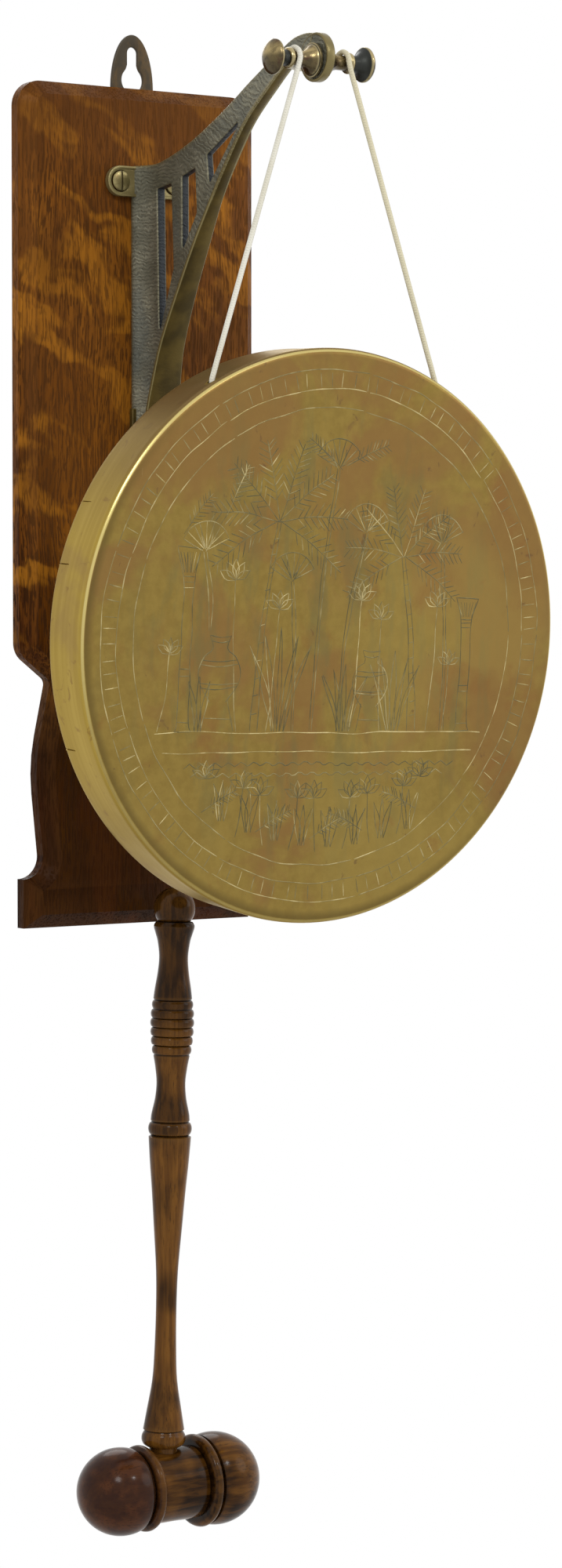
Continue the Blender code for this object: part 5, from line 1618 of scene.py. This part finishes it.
def ground_rows():
    """The two ground lines, as far as the inner circle."""
    halves = [(chord_half(v, 4), v) for v in GROUND_LINES]
    return [segment((-half, v), (-half * 0.2, v), (half, v)) for half, v in halves]


def engraved_lines():
    """Every engraved line with its tone, in the face's own (u, v)."""
    ground = GROUND_LINES[0] + 0.6
    below = GROUND_LINES[1]
    dark = [
        *palm(-37, ground, 92, 9, 37),
        *palm(49, ground, 78, -9, 33),
        *papyrus(-6, ground, 116, 8),
        *papyrus(8, ground, 88, 11),
        *papyrus(-16, ground, 66, -4),
        *papyrus(66, ground, 84, -5),
        *column(-74, ground, 80),
        *column(77, ground, 60),
        *jar(-56, ground, 42),
        *jar(25, ground, 36),
        *reeds(-24, ground, 46),
        *reeds(38, ground, 36),
        *reeds(11, ground, 30),
        *reeds(-66, ground, 24, 3),
        *leaf(Vector((-56, 52)), 24, 26),
        *leaf(Vector((-78, 44)), 38, 24),
        *leaf(Vector((6, 76)), 62, 26),
        *leaf(Vector((4, 74)), -50, 24),
    ]
    pale = [
        *lotus(-46, ground, 66, -4, 9),
        *lotus(-30, ground, 54, 4, 8),
        *lotus(15, ground, 58, 3, 9),
        *lotus(31, ground, 50, -2, 8),
        *lotus(57, ground, 56, 3, 8),
        *lotus(66, ground, 30, 2),
        *lotus(-87, ground, 34, 5, 7),
        *papyrus(-62, ground + 44, 34, -4),
    ]
    for row in range(2):
        reach = chord_half(below - 8, 10 + 4 * row)
        dark += water(-reach, reach, below - 5.5 - 4.2 * row)
    for k in range(-4, 5):
        foot = -95 + 0.9 * abs(k) ** 1.9
        dark += lotus(k * 14.5, foot, 24 - 0.8 * abs(k), 3.2 if k % 2 else -2.5, 8)
        dark += reeds(k * 14.5 + 6.5, foot + 2, 18, 3)
        if k % 2 == 0:
            dark += leaf(Vector((k * 14.5 - 4, foot + 6)), -62 if k > 0 else 58, 22)
    slope = Matrix.Rotation(GROUND_SLOPE, 2)
    drawn = []
    for lines, tone in ((dark, DARK), (pale, PALE), (ground_rows(), BRIGHT)):
        for line in lines:
            line = [slope @ p for p in line]
            if max(p.length for p in line) < BORDER_CIRCLES[2] - 1:
                drawn.append((line, tone))
    return drawn + [(line, PALE) for line in border()]


def make_engraving(metal):
    """Each line as a thin ridge on the face like a burr, its tone painted lighter on one side and
    darker on the other.
    """
    draw = random.Random(11)
    made = bmesh.new()
    tones = made.verts.layers.float.new("tone")
    for line, tone in engraved_lines():
        seed = draw.uniform(0, 90)
        tone = clamped(tone + draw.uniform(-0.25, 0.3) + (0.5 if draw.random() < 0.12 else 0))
        rings = []
        points = evenly(line, LINE_STEP)
        for i, here in enumerate(points):
            along = way_past(points, i)
            out = left_of(along)
            here = here + out * 0.9 * noise.noise(Vector((here.x * 0.06, here.y * 0.06, seed)))
            press = 0.5 + 0.5 * noise.noise(Vector((here.x * 0.22, here.y * 0.22, seed + 5)))
            press *= 0.35 if i in (0, len(points) - 1) else 1
            ring = []
            for across, rise in ((-1, -LINE_SUNK), (0, LINE_RISE * (0.4 + press)), (1, -LINE_SUNK)):
                spot = (here + out * LINE_HALF * (0.55 + 0.9 * press) * across) * MM
                vert = made.verts.new((spot.x, -face_wave(spot.x, spot.y) - rise, spot.y))
                # The across term paints one side of the ridge lighter and the other darker: painted
                # light and shade
                vert[tones] = clamped(tone + (press - 0.5) * 0.5 + 0.15 * across)
                ring.append(vert)
            rings.append(ring)
        skin(made, rings)
        cap(made, rings)
    made.transform(SPOOL_FROM_DISH)
    piece("engraving", made, metal, "gong", (), FRAME_FROM_SPOOL)


# The mallet and what it hangs on


def link_places():
    """The hook's bend, the ring's and the eye's centres, and the mallet's pivot between them."""
    bend = Vector((HOOK_X, MALLET_Y, HOOK_Z))
    reach = HOOK_WIRE + RING_WIRE + LINK_GAP
    half_turn = (pi - HOOK_RISE) / 2
    lift = Vector((0, cos(half_turn), sin(half_turn))) * reach / sin(half_turn)
    bend -= Vector((0, lift.y, 0))
    ring = bend + lift - Vector((0, 0, RING_RADIUS))
    pivot = ring - Vector((0, 0, RING_RADIUS))
    eye = pivot + Vector((0, 0, RING_WIRE + EYE_WIRE + LINK_GAP - EYE_RADIUS))
    return bend, ring, pivot, eye


def make_hook(brass):
    bend = link_places()[0]
    tip = Vector((0, -cos(HOOK_RISE), sin(HOOK_RISE))) * HOOK_TIP
    back = Vector((HOOK_X, -BOARD_THICK + 2 * MM, HOOK_Z))
    corner = [
        bend + Vector((0, 1.6 * MM, 0)),
        bend + Vector((0, 0.7 * MM, 0.04 * MM)),
        bend + tip * 0.05 + Vector((0, 0, 0.06 * MM)),
        bend + tip * 0.12,
    ]
    straight = [back.lerp(corner[0], part) for part in (0, 0.5)]
    rise = [corner[-1].lerp(bend + tip, part) for part in (0.3, 0.65, 0.94)]
    rod = sweep(smooth([*straight, *corner, *rise], 3), HOOK_WIRE, 20)
    collar = [(0, 0), (0, HOOK_COLLAR - 0.2 * MM), (0.25, HOOK_COLLAR), (1, HOOK_COLLAR)]
    collar.append((1.35, HOOK_COLLAR - 0.3 * MM))
    neck = ((1.6, 1.5), (2.4, 0.8), (3.4, 0.6), (4.0, 0.35))
    collar += [(out, HOOK_WIRE + past * MM) for out, past in neck]
    rows = [(-BOARD_THICK - GAP - out * MM, radius) for out, radius in [*collar, (4.2, 0)]]
    collar = lathe(rows, "Y", 48)
    collar.transform(Matrix.Translation((HOOK_X, 0, HOOK_Z)))
    piece("hook", join(rod, collar), brass, "board", ("mallet_hook",))


def make_links(brass):
    """The ring on the hook, and the screw eye that hangs on it, at the top of the mallet."""
    _, ring, pivot, eye = link_places()
    turns = [2 * pi * k / 64 for k in range(64)]
    loop = [ring + Vector((cos(t), 0, sin(t))) * RING_RADIUS for t in turns]
    made = sweep(loop, RING_WIRE, 16, closed=True)
    piece("ring", made, brass, "ring", ("hanging_ring",))
    place = eye - pivot
    loop = [place + Vector((0, cos(t), sin(t))) * EYE_RADIUS for t in turns]
    top = place.z - EYE_RADIUS
    surface = HANDLE_TOP - pivot.z
    stem = [
        (top, 0),
        (top, EYE_STEM),
        (surface + 1.1 * MM, EYE_STEM),
        (surface + 1.0 * MM, EYE_COLLAR - 0.3 * MM),
        (surface + 0.8 * MM, EYE_COLLAR),
        (surface + GAP, EYE_COLLAR),
        (surface + GAP, EYE_STEM),
        (surface - 4 * MM, EYE_WIRE),
        (surface - 4 * MM, 0),
    ]
    made = join(sweep(loop, EYE_WIRE, 16, closed=True), lathe(stem, "Z", 32))
    made.transform(Matrix.Translation(pivot) @ MALLET_LEAN)
    piece("screw_eye", made, brass, "mallet", ("mallet_screw_eye",))


def bead(top, bottom, low, high):
    """A rounded bead from one height to another, rising from one radius to another."""
    points = []
    for part in (k / 10 for k in range(1, 10)):
        along = top + (bottom - top) * part
        points.append((along, low + (high - low) * sin(pi * part) ** 0.6, 0))
    return points


def turned_handle():
    """The handle from its top down, as (height below the top, radius, hollow shade), where the
    hollow shade is painted shade in its grooves and under its ball.
    """
    rows = [(0, 0, 0)]
    for turn in (radians(90 - 132 * k / 20) for k in range(1, 21)):
        rows.append((HANDLE_BALL - HANDLE_BALL * sin(turn), HANDLE_BALL * cos(turn), 0))
    rows[-1] = (*rows[-1][:2], 1)
    rows += [(*p, 0 if i else 1) for i, p in enumerate(smooth(vectors(UPPER_COVE), 4))]
    for k, high in enumerate(BEAD_RADII):
        start = BEADS_TOP + BEAD_PITCH * k
        low = high - BEAD_GROOVE
        rows.append((start, low - BEAD_UNDERCUT, 1))
        rows += bead(start, start + BEAD_PITCH, low, high)
    rows.append((BEADS_TOP + BEAD_PITCH * len(BEAD_RADII), low - BEAD_UNDERCUT, 1))
    rows += [(*p, 0) for p in smooth(vectors(LOWER_COVE), 4)]
    rows.append((RING_BEAD[0], RING_BEAD_LOW - RING_BEAD_UNDERCUT, 1))
    rows += bead(*RING_BEAD, RING_BEAD_LOW, RING_BEAD_RADIUS)
    rows.append((RING_BEAD[1], RING_BEAD_LOW - RING_BEAD_UNDERCUT, 1))
    rows += [(*p, 0) for p in smooth(vectors(TAPER), 4)]
    rows.append((*mm(255.5, 9.0), 1))
    return rows + [(*p, 0) for p in smooth(vectors(COLLAR), 5)]


def head_end(side):
    """One end of the head outwards along X, as (distance, radius, hollow shade, wear and
    highlight), where the hollow shade is painted shade in its grooves.
    """
    ball, centre, ring = HEAD_ENDS[side]
    end = BARREL_HALF
    half = [
        (0.0, BARREL_RADIUS, 0, 0),
        (0.5 * end, BARREL_RADIUS + 0.12 * MM, 0, 0),
        (end - 0.7 * MM, BARREL_RADIUS, 0, 0),
        (end, BARREL_RADIUS - 0.15 * MM, 1, 0),
        (end + 0.15 * MM, ring - 2.4 * MM, 0.6, 0),
        (end + 0.6 * MM, ring - 1.6 * MM, 0, 0.2),
    ]
    crown = ((0.9, -1.0), (1.6, -0.4), (2.8, 0.0), (4.4, -0.5), (5.3, -1.8))
    crown = smooth([(end + u * MM, ring + v * MM) for u, v in crown], 4)
    half += [(*p, 0, 0.45 if p.y > ring - 0.4 * MM else 0) for p in crown]
    half += [(end + 5.5 * MM, ring - 3.3 * MM, 1, 0), (end + 5.8 * MM, BARREL_RADIUS, 1, 0)]
    start = degrees(acos(max(-0.31, (end + 6.2 * MM - centre) / ball)))
    arch = arc((centre, 0), ball, start, 0, 30)
    half += [(*p, 0 if i else 0.6, 0) for i, p in enumerate(arch)]
    half[-1] = (half[-1][0], 0, 0, 0)
    return half


def make_mallet(wood):
    pivot = link_places()[2]
    top = HANDLE_TOP - pivot.z
    head_low = -(pivot.z - HEAD_Z) + BARREL_RADIUS - 2.5 * MM
    rows = [(top - depth, radius, hollow_shade) for depth, radius, hollow_shade in turned_handle()]
    rows += [(head_low, rows[-1][1], 1), (head_low, 0, 1)]
    made = lathe(rows, "Z", HANDLE_SIDES)
    place = FRAME_FROM_BOARD @ Matrix.Translation(pivot) @ MALLET_LEAN
    handle = piece("handle", made, wood, "mallet", ("mallet_handle",), place)
    row_numbers(handle, rows, HANDLE_SIDES, "hollow_shade")
    numbers(handle, "along_x", [0.0] * len(handle.data.vertices))
    ridge_wear(handle, radians(30))
    rows = [(-along, *rest) for along, *rest in reversed(head_end(-1))][:-1] + head_end(1)
    made = lathe(rows, "X", HEAD_SIDES)
    place = FRAME_FROM_BOARD @ Matrix.Translation((0, pivot.y, HEAD_Z))
    head = piece("head", made, wood, "mallet", ("mallet_head",), place)
    row_numbers(head, rows, HEAD_SIDES, "hollow_shade", "wear_and_highlight")
    numbers(head, "along_x", [1.0] * len(head.data.vertices))


def make_brasses():
    """The screws' brass and the spool's, from their base, dark and reddish colours and the colour
    of the painted shade in their hollows.
    """
    screw = ((0.30, 0.250, 0.105), (0.14, 0.105, 0.040))
    screw += ((0.19, 0.11, 0.045), (0.010, 0.008, 0.005))
    spool = ((0.132, 0.100, 0.045), (0.058, 0.044, 0.025))
    spool += ((0.078, 0.036, 0.024), (0.036, 0.038, 0.034))
    screw_brass = make_brass("screw_metal", *screw, 0.55, 0.28)
    return screw_brass, make_brass("spool_metal", *spool, 0.8, 0.2, -17.5)


def build():
    make_camera()
    make_cord(make_cotton())
    make_stage()
    make_board(make_oak())
    make_hanger(make_hanger_metal())
    screw_brass, spool_brass = make_brasses()
    for name, x, z, turn in BRACKET_SCREWS:
        make_screw(name, (x, LUG_FRONT, z), *BRACKET_SCREW, turn, 1, screw_brass)
    for name, z in HANGER_SCREWS:
        make_screw(name, (0, 0, z), *HANGER_SCREW, HANGER_SCREW_TURN, -1, screw_brass)
    make_bracket(make_cast_metal())
    make_spool(spool_brass)
    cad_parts["spool_stud"].material_slots[0].material = screw_brass
    make_dish(make_gong_metal())
    make_engraving(make_engraved_metal())
    make_hook(screw_brass)
    make_links(screw_brass)
    make_mallet(make_turned_wood())


build()
